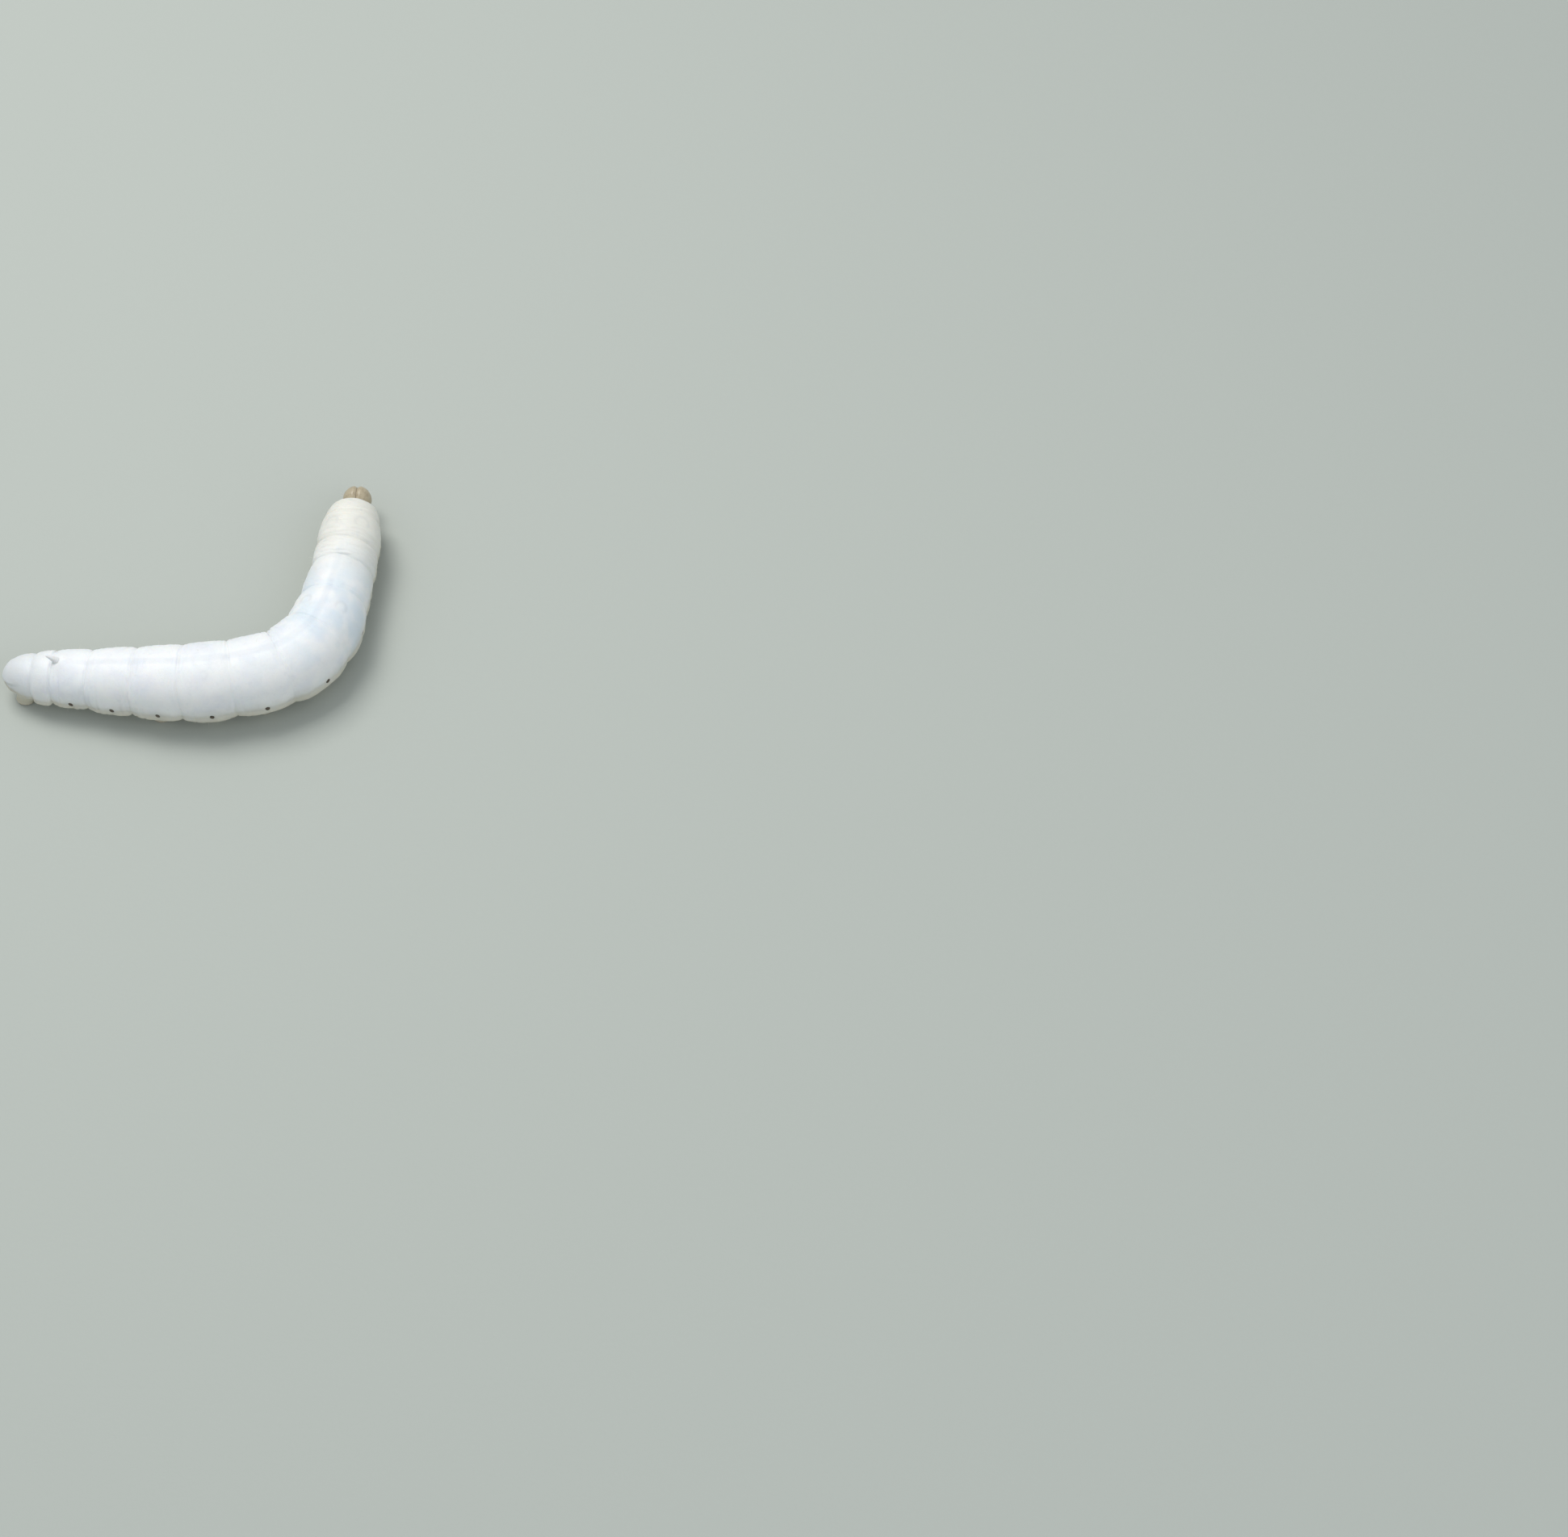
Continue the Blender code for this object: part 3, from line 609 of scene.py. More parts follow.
def all_creases():
    """The depth of all the furrows together."""
    depth = np.zeros_like(AT)
    on_flank = 0.45 + 0.55 * np.sin(np.radians(SIDE)) ** 2
    for name, start, end in zip(SEGMENTS, ENDS, ENDS[1:]):
        in_tail = name in ("anal_segment", "abdomen_9")
        if start > 0.0:
            depth += crease(start, *MAIN_CREASE, 0.6)
        table = TAIL_CREASES if in_tail else THORAX_CREASES if "thorax" in name else ABDOMEN_CREASES
        whole_ring = 1.0 if "thorax" in name else on_flank
        for share, deep in table:
            width = draw.uniform(*CREASE_WIDTHS)
            depth += crease(start + share * (end - start), deep, width, 1.1) * whole_ring
    for behind, deep in NECK_CREASES:
        depth += crease(BODY_LENGTH - behind, deep, 0.06, 0.4)
    return depth * pressed


CREASES = all_creases()
print("creases up to", round(float(CREASES.max()), 2), "mm deep")


# %% Bulges of the flank and random wrinkles
def waves(along, around, seed, slant=0.0, shape=AT.shape):
    """Smooth random waves over the rings and columns, about -1 to 1; sizes in rings and columns."""
    field = np.random.default_rng(seed).normal(size=shape)
    row = np.fft.fftfreq(shape[0])[:, None]
    column = np.fft.fftfreq(shape[1])[None, :]
    narrowed = ((row + slant * column) * along) ** 2 + ((column - slant * row) * around) ** 2
    field = np.fft.ifft2(np.fft.fft2(field) * np.exp(-2.0 * np.pi**2 * narrowed)).real
    return np.clip(field / (2.5 * field.std()), -1.2, 1.2)


def flank_band(height, angle, spread):
    """A ridge along both flanks, at an angle from the back."""
    return height * bump_at(SIDE, angle, spread)


FLANK_BULGE = (0.15, 121.0, 10.0)
UPPER_FURROW = (0.12, 107.0, 6.0)
LOWER_FURROW = (0.10, 138.0, 7.0)
BULGE_UNEVENNESS = 0.3
LUMP_HEIGHT = 0.07
WRINKLE_HEIGHT = 0.02
THORAX_WRINKLES = 0.03
PRESSED_WRINKLES = 0.03
SLANTED_HEIGHT = 0.035
DIMPLE_HEIGHT = 0.018
SWELL_HEIGHT = 0.05
SHARE = in_segment(AT)[1]
BELLIED = 1.0 - np.minimum(np.abs(2.0 * SHARE - 1.0), 1.0) ** 3
ON_THORAX = smooth((AT - THORAX_START + 1.0) / 3.0)
ON_FLANK = smooth((SIDE - 78.0) / 25.0) * (1.0 - smooth((SIDE - 140.0) / 20.0))
ENDS_EASED = smooth(AT / 1.2) * (1.0 - smooth((AT - BODY_LENGTH + 0.4) / 0.8))

flank = flank_band(*FLANK_BULGE) * BELLIED * (1.0 + BULGE_UNEVENNESS * waves(9.0, 9.0, 6))
flank = flank - flank_band(*UPPER_FURROW) - flank_band(*LOWER_FURROW)
lumps = LUMP_HEIGHT * waves(9.0, 7.0, 3)
wrinkle_height = WRINKLE_HEIGHT + THORAX_WRINKLES * ON_THORAX
wrinkle_height = wrinkle_height + PRESSED_WRINKLES * np.maximum(pressed - 1.0, 0.0)
wrinkles = wrinkle_height * waves(1.8, 6.0, 4)
slanted = SLANTED_HEIGHT * ON_FLANK * (waves(2.2, 5.0, 7, 0.5) + waves(2.2, 5.0, 8, -0.5))
dimples = DIMPLE_HEIGHT * waves(2.6, 2.2, 5)
swell_between = SWELL_HEIGHT * BELLIED
LIFT = (flank + lumps + wrinkles + slanted + dimples + swell_between - CREASES) * ENDS_EASED

# %% [markdown]
# ## Breathing holes, tail plate and the root of the horn
# Three kinds of form sit at one place of the skin: the shallow pits of the breathing holes, the mound
# that the horn grows from, and the tail's end. That end is covered by a plate with a furrow round it,
# and under the plate two lobes close on each other along a slit. Each is a small hill or furrow whose
# height depends on how far a point lies from the form's own line.

# %% The base grid of the skin
neck_share = np.sqrt(np.maximum(1.0 - (np.maximum(AT - BODY_LENGTH, 0.0) / (NECK_REACH + 0.02)) ** 2, 0.0))
lines = [skin(RINGS, np.full_like(RINGS, angle), neck_share[:, 0]) for angle in ANGLES]
BASE_GRID = np.stack(lines, axis=1)
AROUND = np.roll(BASE_GRID, -1, axis=1) - np.roll(BASE_GRID, 1, axis=1)
BASE_OUT = unit(np.cross(np.gradient(BASE_GRID, axis=0), AROUND))

# %% Pits of the breathing holes
SPIRACLE_ANGLE = 105.0
SPIRACLE_PLACE = 0.56
SPIRACLE_SEGMENTS = ["prothorax"] + [f"abdomen_{n}" for n in range(1, 9)]
SPIRACLE_DISTANCES = [place_in(segment, SPIRACLE_PLACE) for segment in SPIRACLE_SEGMENTS]
SPIRACLE_ROWS = [int(np.argmin(np.abs(RINGS - distance))) for distance in SPIRACLE_DISTANCES]
SPIRACLE_SIDES = (SPIRACLE_ANGLE, 360.0 - SPIRACLE_ANGLE)
SPIRACLE_COLUMNS = [int(np.argmin(np.abs(ANGLES - angle))) for angle in SPIRACLE_SIDES]
PIT_HALF_SIZES = (0.5, 0.74)
PIT_DEPTH = 0.07
PIT_LIP = 0.05
for row in SPIRACLE_ROWS:
    for column in SPIRACLE_COLUMNS:
        off = BASE_GRID - BASE_GRID[row, column]
        pit_forward = section(RINGS[row])[2]
        lengthways = off @ pit_forward
        crossways = np.linalg.norm(off - lengthways[..., None] * pit_forward, axis=-1)
        away = np.hypot(lengthways / PIT_HALF_SIZES[0], crossways / PIT_HALF_SIZES[1])
        levelled = 1.0 - smooth(away - 0.7)
        LIFT += levelled * (LIFT[row, column] - LIFT)
        LIFT += PIT_LIP * bump_at(away, 1.0, 0.3) - PIT_DEPTH * (1.0 - smooth((away - 0.45) / 0.5))

# %% Tail plate, slit and the mound of the horn
PLATE_LENGTH = 3.3
PLATE_DROP = 0.45
PLATE_SLOPE = 0.5
TAIL_FURROW = (0.17, 0.0, 0.2)
PLATE_RIM = (0.07, 0.42, 0.34)
TAIL_SLIT = (0.22, 0.0, 0.13)
TAIL_LOBES = (0.14, 0.75, 0.45)
HORN_PLACE = 0.3
HORN_DISTANCE = place_in("abdomen_8", HORN_PLACE)
HORN_MOUND = (0.36, 1.1)

tail_middle, tail_left, tail_forward = section(0.0)
from_tail = BASE_GRID - tail_middle
ahead = from_tail @ tail_forward
aside = from_tail @ tail_left
above = from_tail[..., 2]
under_plate = above + PLATE_DROP - PLATE_SLOPE * ahead
on_plate_edge = 1.0 - smooth(ahead / PLATE_LENGTH)
LIFT -= TAIL_FURROW[0] * bump_at(under_plate, *TAIL_FURROW[1:]) * on_plate_edge
LIFT += PLATE_RIM[0] * bump_at(under_plate, *PLATE_RIM[1:]) * on_plate_edge
on_lobes = smooth(-under_plate / 0.4) * (1.0 - smooth((ahead - 1.2) / 0.8))
LIFT -= TAIL_SLIT[0] * bump_at(aside, *TAIL_SLIT[1:]) * on_lobes
LIFT += TAIL_LOBES[0] * bump_at(np.abs(aside), *TAIL_LOBES[1:]) * on_lobes
horn_place = skin(np.array([HORN_DISTANCE]), np.array([0.0]))[0]
LIFT += HORN_MOUND[0] * bump_at(np.linalg.norm(BASE_GRID - horn_place, axis=-1), 0.0, HORN_MOUND[1])
BODY_GRID = BASE_GRID + BASE_OUT * LIFT[..., None]
BODY_GRID[..., 2] = np.maximum(BODY_GRID[..., 2], 0.0)
print("skin moved by", round(float(LIFT.min()), 2), "to", round(float(LIFT.max()), 2), "mm")

# %% [markdown]
# ## One skin with its prolegs
# The prolegs and claspers are stumps of the same skin. They could stay apart, but a seam would show
# where they leave the belly. So body and stumps are joined by a Boolean union, and the points near
# the seam are then averaged with their neighbours a few times, which rounds it as flesh is rounded.

# %% The stumps' grids
PROLEG_SPREAD = 2.0
PROLEG_TABLE = (
    (3.4, 0.0, -0.3, 1.5),
    (2.0, 0.0, 0.0, 1.5),
    (1.45, 0.0, 0.12, 1.36),
    (1.05, 0.0, 0.14, 1.15),
    (0.75, 0.0, 0.12, 1.08),
    (0.46, 0.0, 0.06, 1.11),
    (0.18, 0.0, 0.0, 1.1),
    (0.0, 0.0, 0.0, 0.88),
)
CLASPER_PLACE = 2.9
CLASPER_SPREAD = 1.4
CLASPER_TABLE = (
    (3.4, 0.4, -0.3, 1.2),
    (2.4, 0.2, -0.1, 1.2),
    (1.6, 0.0, 0.05, 1.14),
    (1.05, -0.2, 0.05, 0.92),
    (0.6, -0.3, 0.03, 1.0),
    (0.24, -0.32, 0.0, 1.0),
    (0.0, -0.32, 0.0, 0.78),
)
STUMP_RINGS = 56
STUMP_SIDES = 56
STUMP_FOLDS = (
    (1.62, 0.06, 0.1),
    (1.28, 0.09, 0.09),
    (0.98, 0.07, 0.07),
    (0.72, 0.09, 0.07),
    (0.36, 0.07, 0.05),
)
PROLEG_FLATNESS = (1.12, 0.92)
CLASPER_FLATNESS = (1.15, 0.88)


def beside(distance, table, spread, side):
    """Points of a limb's path from rows that start with height, ahead and out."""
    middle, left, forward = section(distance)
    ground = np.array([middle[0], middle[1], 0.0])
    height, ahead, out = (table[:, column, None] for column in range(3))
    return ground + left * (out + spread) * side + forward * ahead + UP * height


def stump(distance, table, spread, side, flatness, seed):
    """A fleshy limb with soft, uneven rings, its sole flat on the floor."""
    rows = through(table, STUMP_RINGS)
    rows[:, 0] = np.maximum(rows[:, 0], 0.0)
    radii = np.stack([rows[:, 3] * flatness[0], rows[:, 3] * flatness[1]], axis=-1)
    path = beside(distance, rows, spread, side)
    grid = tube(path, radii, STUMP_SIDES, section(distance)[2])
    shape = (STUMP_RINGS, STUMP_SIDES)
    height = rows[:, 0, None] + 0.12 * waves(9.0, 7.0, seed, 0.0, shape)
    depth = sum(deep * bump_at(height, place, width) for place, deep, width in STUMP_FOLDS)
    depth = depth * (1.0 + 0.5 * waves(5.0, 6.0, seed + 1, 0.0, shape))
    depth = depth - 0.05 * waves(3.0, 5.0, seed + 2, 0.3, shape)
    off_sole = smooth(rows[:, 0, None] / 0.25)
    return grid - unit(grid - path[:, None]) * (depth * off_sole)[..., None]


PROLEG_DISTANCES = [place_in(f"abdomen_{number}") for number in (3, 4, 5, 6)]
PROLEG = (PROLEG_TABLE, PROLEG_SPREAD, PROLEG_FLATNESS)
CLASPER = (CLASPER_TABLE, CLASPER_SPREAD, CLASPER_FLATNESS)
STUMPS = []
for side in (1, -1):
    kinds = [(distance, *PROLEG) for distance in PROLEG_DISTANCES] + [(CLASPER_PLACE, *CLASPER)]
    for distance, table, spread, flatness in kinds:
        STUMPS.append(stump(distance, table, spread, side, flatness, 100 + 10 * len(STUMPS)))
for grid in STUMPS:
    grid[..., 2] = np.maximum(grid[..., 2], 0.0)
print(len(STUMPS), "stumps")

# %% Join and round the seams
SEAM_REACH = 0.85
SEAM_ROUNDS = 16
SEAM_WELD = 0.03

body = grids_object("skin", [BODY_GRID])
stumps = grids_object("stumps", STUMPS)
union = body.modifiers.new("union", "BOOLEAN")
union.operation = "UNION"
union.solver = "MANIFOLD"
union.object = stumps
joined = evaluated(body)
body.modifiers.remove(union)


def kd_tree(points):
    tree = KDTree(len(points))
    for index, point in enumerate(points):
        tree.insert(point, index)
    tree.balance()
    return tree


def nearest(tree, points):
    """Each point's nearest neighbour in a tree and how far it lies."""
    found = [tree.find(point) for point in points]
    return np.array([hit[1] for hit in found]), np.array([hit[2] for hit in found])


def mesh_points(data):
    flat = np.empty(len(data.vertices) * 3)
    data.vertices.foreach_get("co", flat)
    return flat.reshape(-1, 3) / MM


def round_seams(data, sources):
    """Average the points near the seams, which are the points that no source mesh has."""
    points = mesh_points(data)
    off_source = np.minimum(*(nearest(tree, points)[1] for tree in sources))
    seam = kd_tree(points[off_source > 0.002])
    from_seam = nearest(seam, points)[1]
    worked = bmesh.new()
    worked.from_mesh(data)
    near = [vertex for vertex, away in zip(worked.verts, from_seam) if away < SEAM_REACH / 2]
    bmesh.ops.remove_doubles(worked, verts=near, dist=SEAM_WELD * MM)
    bmesh.ops.triangulate(worked, faces=[face for face in worked.faces if len(face.verts) > 4])
    worked.to_mesh(data)
    worked.free()
    points = mesh_points(data)
    share = smooth(1.0 - nearest(seam, points)[1] / SEAM_REACH)[:, None]
    ends = np.empty(len(data.edges) * 2, int)
    data.edges.foreach_get("vertices", ends)
    ends = ends.reshape(-1, 2)
    count = np.bincount(ends.ravel(), minlength=len(points))[:, None]
    for _ in range(SEAM_ROUNDS):
        sums = np.stack(
            [
                np.bincount(ends[:, 0], points[ends[:, 1], axis], len(points))
                + np.bincount(ends[:, 1], points[ends[:, 0], axis], len(points))
                for axis in range(3)
            ],
            axis=-1,
        )
        points = points + share * 0.7 * (sums / np.maximum(count, 1) - points)
    data.vertices.foreach_set("co", (points * MM).ravel())
    return points


body_tree = kd_tree(closed_grid(BODY_GRID))
stump_tree = kd_tree(np.vstack([closed_grid(grid) for grid in STUMPS]))
skin_points = round_seams(joined, (body_tree, stump_tree))
body.data = joined
bpy.data.objects.remove(stumps)
triangles = sum(len(face.vertices) - 2 for face in joined.polygons)
print("skin:", len(joined.vertices), "points,", triangles, "triangles")

# %% Numbers kept at the skin's points
index, off_body = nearest(body_tree, skin_points)
ring = np.minimum(index // SKIN_COLUMNS, len(RINGS) - 1)
column = index % SKIN_COLUMNS
store(body, "along", RINGS[ring])
store(body, "side", SIDE[ring, column] / 180.0)
store(body, "crease", np.clip(-LIFT / 0.32, 0.0, 1.0)[ring, column])
store(body, "stump", smooth(off_body / 1.0))

# %% Grey marks of the back
MARKS = {"mesothorax": (30.0, 0.9, 0.5), "abdomen_2": (30.0, 0.75, 0.6), "abdomen_5": (27.0, 0.5, 0.35)}
MARK_SOFTNESS = 0.22
mark = np.zeros_like(AT)
for segment, (angle, radius, strength) in MARKS.items():
    middle = place_in(segment)
    lengthways = AT - middle
    crossways = (SIDE - angle) * np.radians(half_width(middle))
    arc = bump_at(np.hypot(lengthways, crossways), radius, MARK_SOFTNESS)
    mark = mark + strength * arc * smooth((lengthways / radius + 0.9) / 0.8)
store(body, "mark", np.clip(mark, 0.0, 1.0)[ring, column] * (1.0 - smooth(off_body / 0.3)))

# %% [markdown]
# ## The finish of the skin
# The skin is chalk white with a breath of blue and lavender on the back, cream on the thorax, greyer
# at the tail and beige on the prolegs. Low on the flanks the beige is partly the skin's own tone and
# partly painted shade of the lower flank. The folds are darkened with a yellowish grey, which is
# painted shade in the creases; faint grey crescents mark three segments of the back, a blue-grey line
# the heart vessel under it, and light sinks a little into the skin. Each of these is a mask between
# 0 and 1 that blends one more colour in.

# %% Skin material
WHITE = (0.90, 0.91, 0.91)
LAVENDER = (0.75, 0.765, 0.85)
PALE_BLUE = (0.70, 0.79, 0.86)
CREAM = (0.80, 0.78, 0.69)
TAIL_GREY = (0.66, 0.685, 0.70)
BEIGE = (0.59, 0.55, 0.42)
# Painted shade in the creases; the same tone also colours the fine speckles.
CREASE_SHADE_AND_SPECKLE_TONE = (0.58, 0.56, 0.50)
VESSEL = (0.52, 0.57, 0.65)
MARK_TONE = (0.42, 0.44, 0.47)
SOLE_TONE = (0.47, 0.38, 0.27)
FLESH = {"Subsurface_Weight": 0.30, "Subsurface_Radius": (1.0, 0.78, 0.60)}

silk = Finish("worm_skin")
kept_numbers = ("along", "side", "crease", "stump")
along, side_share, crease_share, stump_share = (silk.stored(name) for name in kept_numbers)
clouds = silk.noise(3.4 * MM, 3.0)
blue_clouds = silk.noise(4.6 * MM, 2.0)
patches = silk.noise(1.1 * MM, 4.0, 0.6)
speckle = silk.noise(0.22 * MM, 3.0)
on_thorax = (along + (clouds - 0.5) * 6.0).rise(THORAX_START - 7.0, THORAX_START + 7.0)
on_tail = 1.0 - along.rise(0.5, 9.0)
past_bend = along.rise(36.0, 42.0) * (1.0 - along.rise(48.0, 58.0))
# Beige low on the flanks and belly: partly the skin's own tone, partly painted shade of the lower flank.
low = (side_share + (clouds - 0.5) * 0.14).rise(0.44, 0.68)
on_vessel = (1.0 - side_share.rise(0.012, 0.05)) * along.rise(6.0, 14.0) * (1.0 - on_thorax)
on_sole = stump_share * (1.0 - silk.height_of(silk.place).rise(0.1 * MM, 0.6 * MM))
tone = silk.layered(
    WHITE,
    (clouds.rise(0.44, 0.70) * 0.38, LAVENDER),
    (blue_clouds.rise(0.42, 0.62) * (0.16 + past_bend * 0.54), PALE_BLUE),
    (on_tail * 0.7, TAIL_GREY),
    (on_thorax * 0.76, CREAM),
    # the low flank's beige, partly its own tone and partly painted shade
    (low * 0.76, BEIGE),
    (patches.rise(0.54, 0.76) * 0.14, VESSEL),
    (on_vessel * 0.2, VESSEL),
    (silk.stored("mark") * (0.12 + patches * 0.4), MARK_TONE),
    # painted shade: creases darkened by how deep they are
    (crease_share.rise(0.25, 1.0) * 0.34, CREASE_SHADE_AND_SPECKLE_TONE),
    (stump_share.rise(0.05, 0.9) * 0.6, BEIGE),
    (on_sole * 0.6, SOLE_TONE),
    (speckle.rise(0.5, 0.8) * 0.10, CREASE_SHADE_AND_SPECKLE_TONE),
)

rings_and_turns = silk.vector(along * MM, side_share * (16.0 * MM), stump_share * MM)
fine_wrinkles = silk.noise(0.3 * MM, 4.0, 0.62, (1.0, 0.25, 1.0), rings_and_turns)
grain_sockets = {"Vector": silk.place, "Scale": 1.0 / (0.14 * MM), "Randomness": 1.0}
grains = silk.node("ShaderNodeTexVoronoi", {"feature": "F1"}, grain_sockets)
relief = fine_wrinkles * (1.0 - stump_share) * (0.55 + on_thorax * 0.45)
relief = relief + silk.noise(0.12 * MM, 2.0) * 0.45 - grains * 0.3
skin_material = silk.close(
    tone,
    0.40 + patches * 0.14,
    relief,
    0.05 * MM,
    Subsurface_Scale=0.9 * MM,
    Specular_IOR_Level=0.42,
    **FLESH,
)
flesh_nodes = [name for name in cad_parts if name.startswith(("proleg", "clasper"))]
finish_piece(body, skin_material, "white_skin", *SEGMENTS, *flesh_nodes)

# %% [markdown]
# ## Small things planted by Geometry Nodes
# Breathing holes, simple eyes, the hooks on the soles and the bristles are many copies of a few
# shapes. A tree sets an instance of its shape on every point of a cloud, turns it by two directions
# stored at the point, scales it by a seeded random share, and ends with Realize Instances and Set
# Material, because instances alone don't leave Blender with a model. The result becomes a plain mesh.

# %% The planting tree
def cloud_of(name, places, out, up):
    """Loose points in millimetres that know which way is out and up."""
    data = bpy.data.meshes.new(name)
    data.from_pydata((np.asarray(places, float) * MM).tolist(), [], [])
    for key, values in (("out", out), ("up", up)):
        attribute = data.attributes.new(key, "FLOAT_VECTOR", "POINT")
        attribute.data.foreach_set("vector", np.asarray(values, np.float32).ravel())
    return add_object(name, data)


def run_tree(thing, name, sizes, build, material):
    """Run a tree of named sizes on an object, and return the result as a plain object."""
    tree = bpy.data.node_groups.new(name, "GeometryNodeTree")
    tree.interface.new_socket("Geometry", in_out="INPUT", socket_type="NodeSocketGeometry")
    for label in sizes:
        tree.interface.new_socket(label, in_out="INPUT", socket_type="NodeSocketFloat")
    tree.interface.new_socket("Result", in_out="OUTPUT", socket_type="NodeSocketGeometry")
    graph = Graph(tree)
    inputs = tree.nodes.new("NodeGroupInput")
    wires = {label: Wire(graph, inputs.outputs[label]) for label in ("Geometry", *sizes)}
    made = build(graph, wires)
    made = graph.node("GeometryNodeRealizeInstances", None, {0: made})
    made = graph.node("GeometryNodeSetMaterial", None, {"Geometry": made, "Material": material})
    output = tree.nodes.new("NodeGroupOutput")
    tree.links.new(made.socket, output.inputs["Result"])
    modifier = thing.modifiers.new(name, "NODES")
    modifier.node_group = tree
    for item in tree.interface.items_tree:
        if item.in_out == "INPUT" and item.name in sizes:
            modifier[item.identifier] = float(sizes[item.name])
    data = evaluated(thing)
    data.name = name
    bpy.data.objects.remove(thing)
    return add_object(name, data)


def aligned(graph):
    """The turn that takes Z to a point's own way out, and Y towards its way up."""
    turn = {}
    for key, axis, pivot in (("out", "Z", "AUTO"), ("up", "Y", "Z")):
        settings = {"data_type": "FLOAT_VECTOR"}
        stored = graph.node("GeometryNodeInputNamedAttribute", settings, {"Name": key})
        settings = {"axis": axis, "pivot_axis": pivot}
        sockets = {"Vector": stored, **turn}
        turn = {"Rotation": graph.node("FunctionNodeAlignRotationToVector", settings, sockets)}
    return turn["Rotation"]


def plant(name, rows, sizes, shape, material, seed, slot):
    """Set a shape on every point of rows of places, out and up, each a little larger or smaller."""

    def build(graph, wires):
        limits = {2: 1.0 - wires["Variation"], 3: 1.0 + wires["Variation"], 8: seed}
        share = graph.node("FunctionNodeRandomValue", {"data_type": "FLOAT"}, limits, out=1)
        sockets = {"Points": wires["Geometry"], "Instance": shape(graph, wires)}
        sockets.update({"Rotation": aligned(graph), "Scale": share})
        return graph.node("GeometryNodeInstanceOnPoints", None, sockets)

    planted = run_tree(cloud_of(name, *rows), name, sizes, build, material)
    finish_piece(planted, material, slot)


def swept(graph, line, sides, radius):
    """A round section swept along a line, with a radius that may change on the way."""
    circle = graph.node("GeometryNodeCurvePrimitiveCircle", None, {"Resolution": sides, "Radius": 1.0})
    sockets = {"Curve": line, "Profile Curve": circle, "Scale": radius, "Fill Caps": True}
    return graph.node("GeometryNodeCurveToMesh", None, sockets)


def bent_line(graph, middle, end, resolution):
    """A quadratic curve from the origin, and the share of the way along it."""
    sockets = {"Resolution": resolution, "Start": (0.0, 0.0, 0.0), "Middle": middle, "End": end}
    line = graph.node("GeometryNodeCurveQuadraticBezier", None, sockets)
    return line, graph.node("GeometryNodeSplineParameter", out="Factor")


def spike(graph, wires):
    """A bent, tapering spike with a round section, along Z from the origin."""
    end = graph.vector(x=wires["Bend"], z=wires["Length"])
    line, share = bent_line(graph, graph.vector(z=wires["Length"] * 0.6), end, 6)
    return swept(graph, line, 5, wires["Root radius"] * (1.0 - share * 0.9))


def spike_sizes(length, bend, root_radius, variation):
    """The named sizes of a kind of spike, from millimetres."""
    lengths = {"Length": length * MM, "Bend": bend * MM, "Root radius": root_radius * MM}
    return {**lengths, "Variation": variation}


# %% [markdown]
# ## Breathing holes
# Nine dark ovals low on each flank: a raised black-brown rim round a paler plate with the slit that
# lets air in. The rim is a circle drawn out to an oval with a thin round section, and the plate is a
# flat ball inside it. Both stand on the same points, in the pits that the skin keeps for them.

# %% Where the breathing holes sit
SPIRACLE_RAISED = 0.02
spiracles = [(row, column) for row in SPIRACLE_ROWS for column in SPIRACLE_COLUMNS]
spiracle_out = np.array([BASE_OUT[place] for place in spiracles])
spiracle_points = np.array([BODY_GRID[place] for place in spiracles])
spiracle_points = spiracle_points + SPIRACLE_RAISED * spiracle_out
spiracle_rows = (spiracle_points, spiracle_out, np.tile(UP, (len(spiracles), 1)))
print(len(spiracles), "breathing holes")


# %% Rims and plates
def drawn_out(graph, geometry, wires, depth):
    """Geometry of radius 1, drawn out to an oval and to a depth."""
    scale = graph.vector(wires["Half width"], wires["Half height"], depth)
    return graph.node("GeometryNodeTransform", None, {"Geometry": geometry, "Scale": scale})


def rim(graph, wires):
    """An oval ring with a round section."""
    ring = graph.node("GeometryNodeCurvePrimitiveCircle", None, {"Resolution": 28, "Radius": 1.0})
    return swept(graph, drawn_out(graph, ring, wires, 1.0), 8, wires["Thickness"])


def plate(graph, wires):
    """A flattened ball."""
    ball = graph.node("GeometryNodeMeshUVSphere", None, {"Segments": 20, "Rings": 10, "Radius": 1.0})
    return drawn_out(graph, ball, wires, wires["Thickness"])


def oval_sizes(half_width, half_height, thickness, variation):
    """The named sizes of a kind of oval piece, from millimetres."""
    lengths = {"Half width": half_width, "Half height": half_height, "Thickness": thickness}
    return {**{name: length * MM for name, length in lengths.items()}, "Variation": variation}


def horn_finish(name, dark, pale, roughness, cloud=0.4 * MM):
    """Hard, glossy chitin, mottled between two tones."""
    horny = Finish(name)
    mottle = horny.noise(cloud, 4.0, 0.6)
    tone = horny.mix(mottle.rise(0.35, 0.68), dark, pale)
    return horny.close(tone, roughness + mottle * 0.12, horny.noise(cloud * 0.3, 3.0), CHITIN_RELIEF)


CHITIN_RELIEF = 0.01 * MM
RIM_SIZES = oval_sizes(0.25, 0.43, 0.055, 0.05)
PLATE_SIZES = oval_sizes(0.24, 0.42, 0.05, 0.02)
SLIT_SIZES = oval_sizes(0.035, 0.3, 0.062, 0.02)
rim_horn = horn_finish("spiracle_rim", (0.018, 0.014, 0.012), (0.05, 0.038, 0.03), 0.3)
plate_horn = horn_finish("spiracle_plate", (0.07, 0.05, 0.035), (0.19, 0.14, 0.09), 0.45, 0.12 * MM)
for piece, sizes, shape, horny in (
    ("spiracle_rims", RIM_SIZES, rim, rim_horn),
    ("spiracle_plates", PLATE_SIZES, plate, plate_horn),
    ("spiracle_slits", SLIT_SIZES, plate, rim_horn),
):
    plant(piece, spiracle_rows, sizes, shape, horny, 5, "brown_horn")

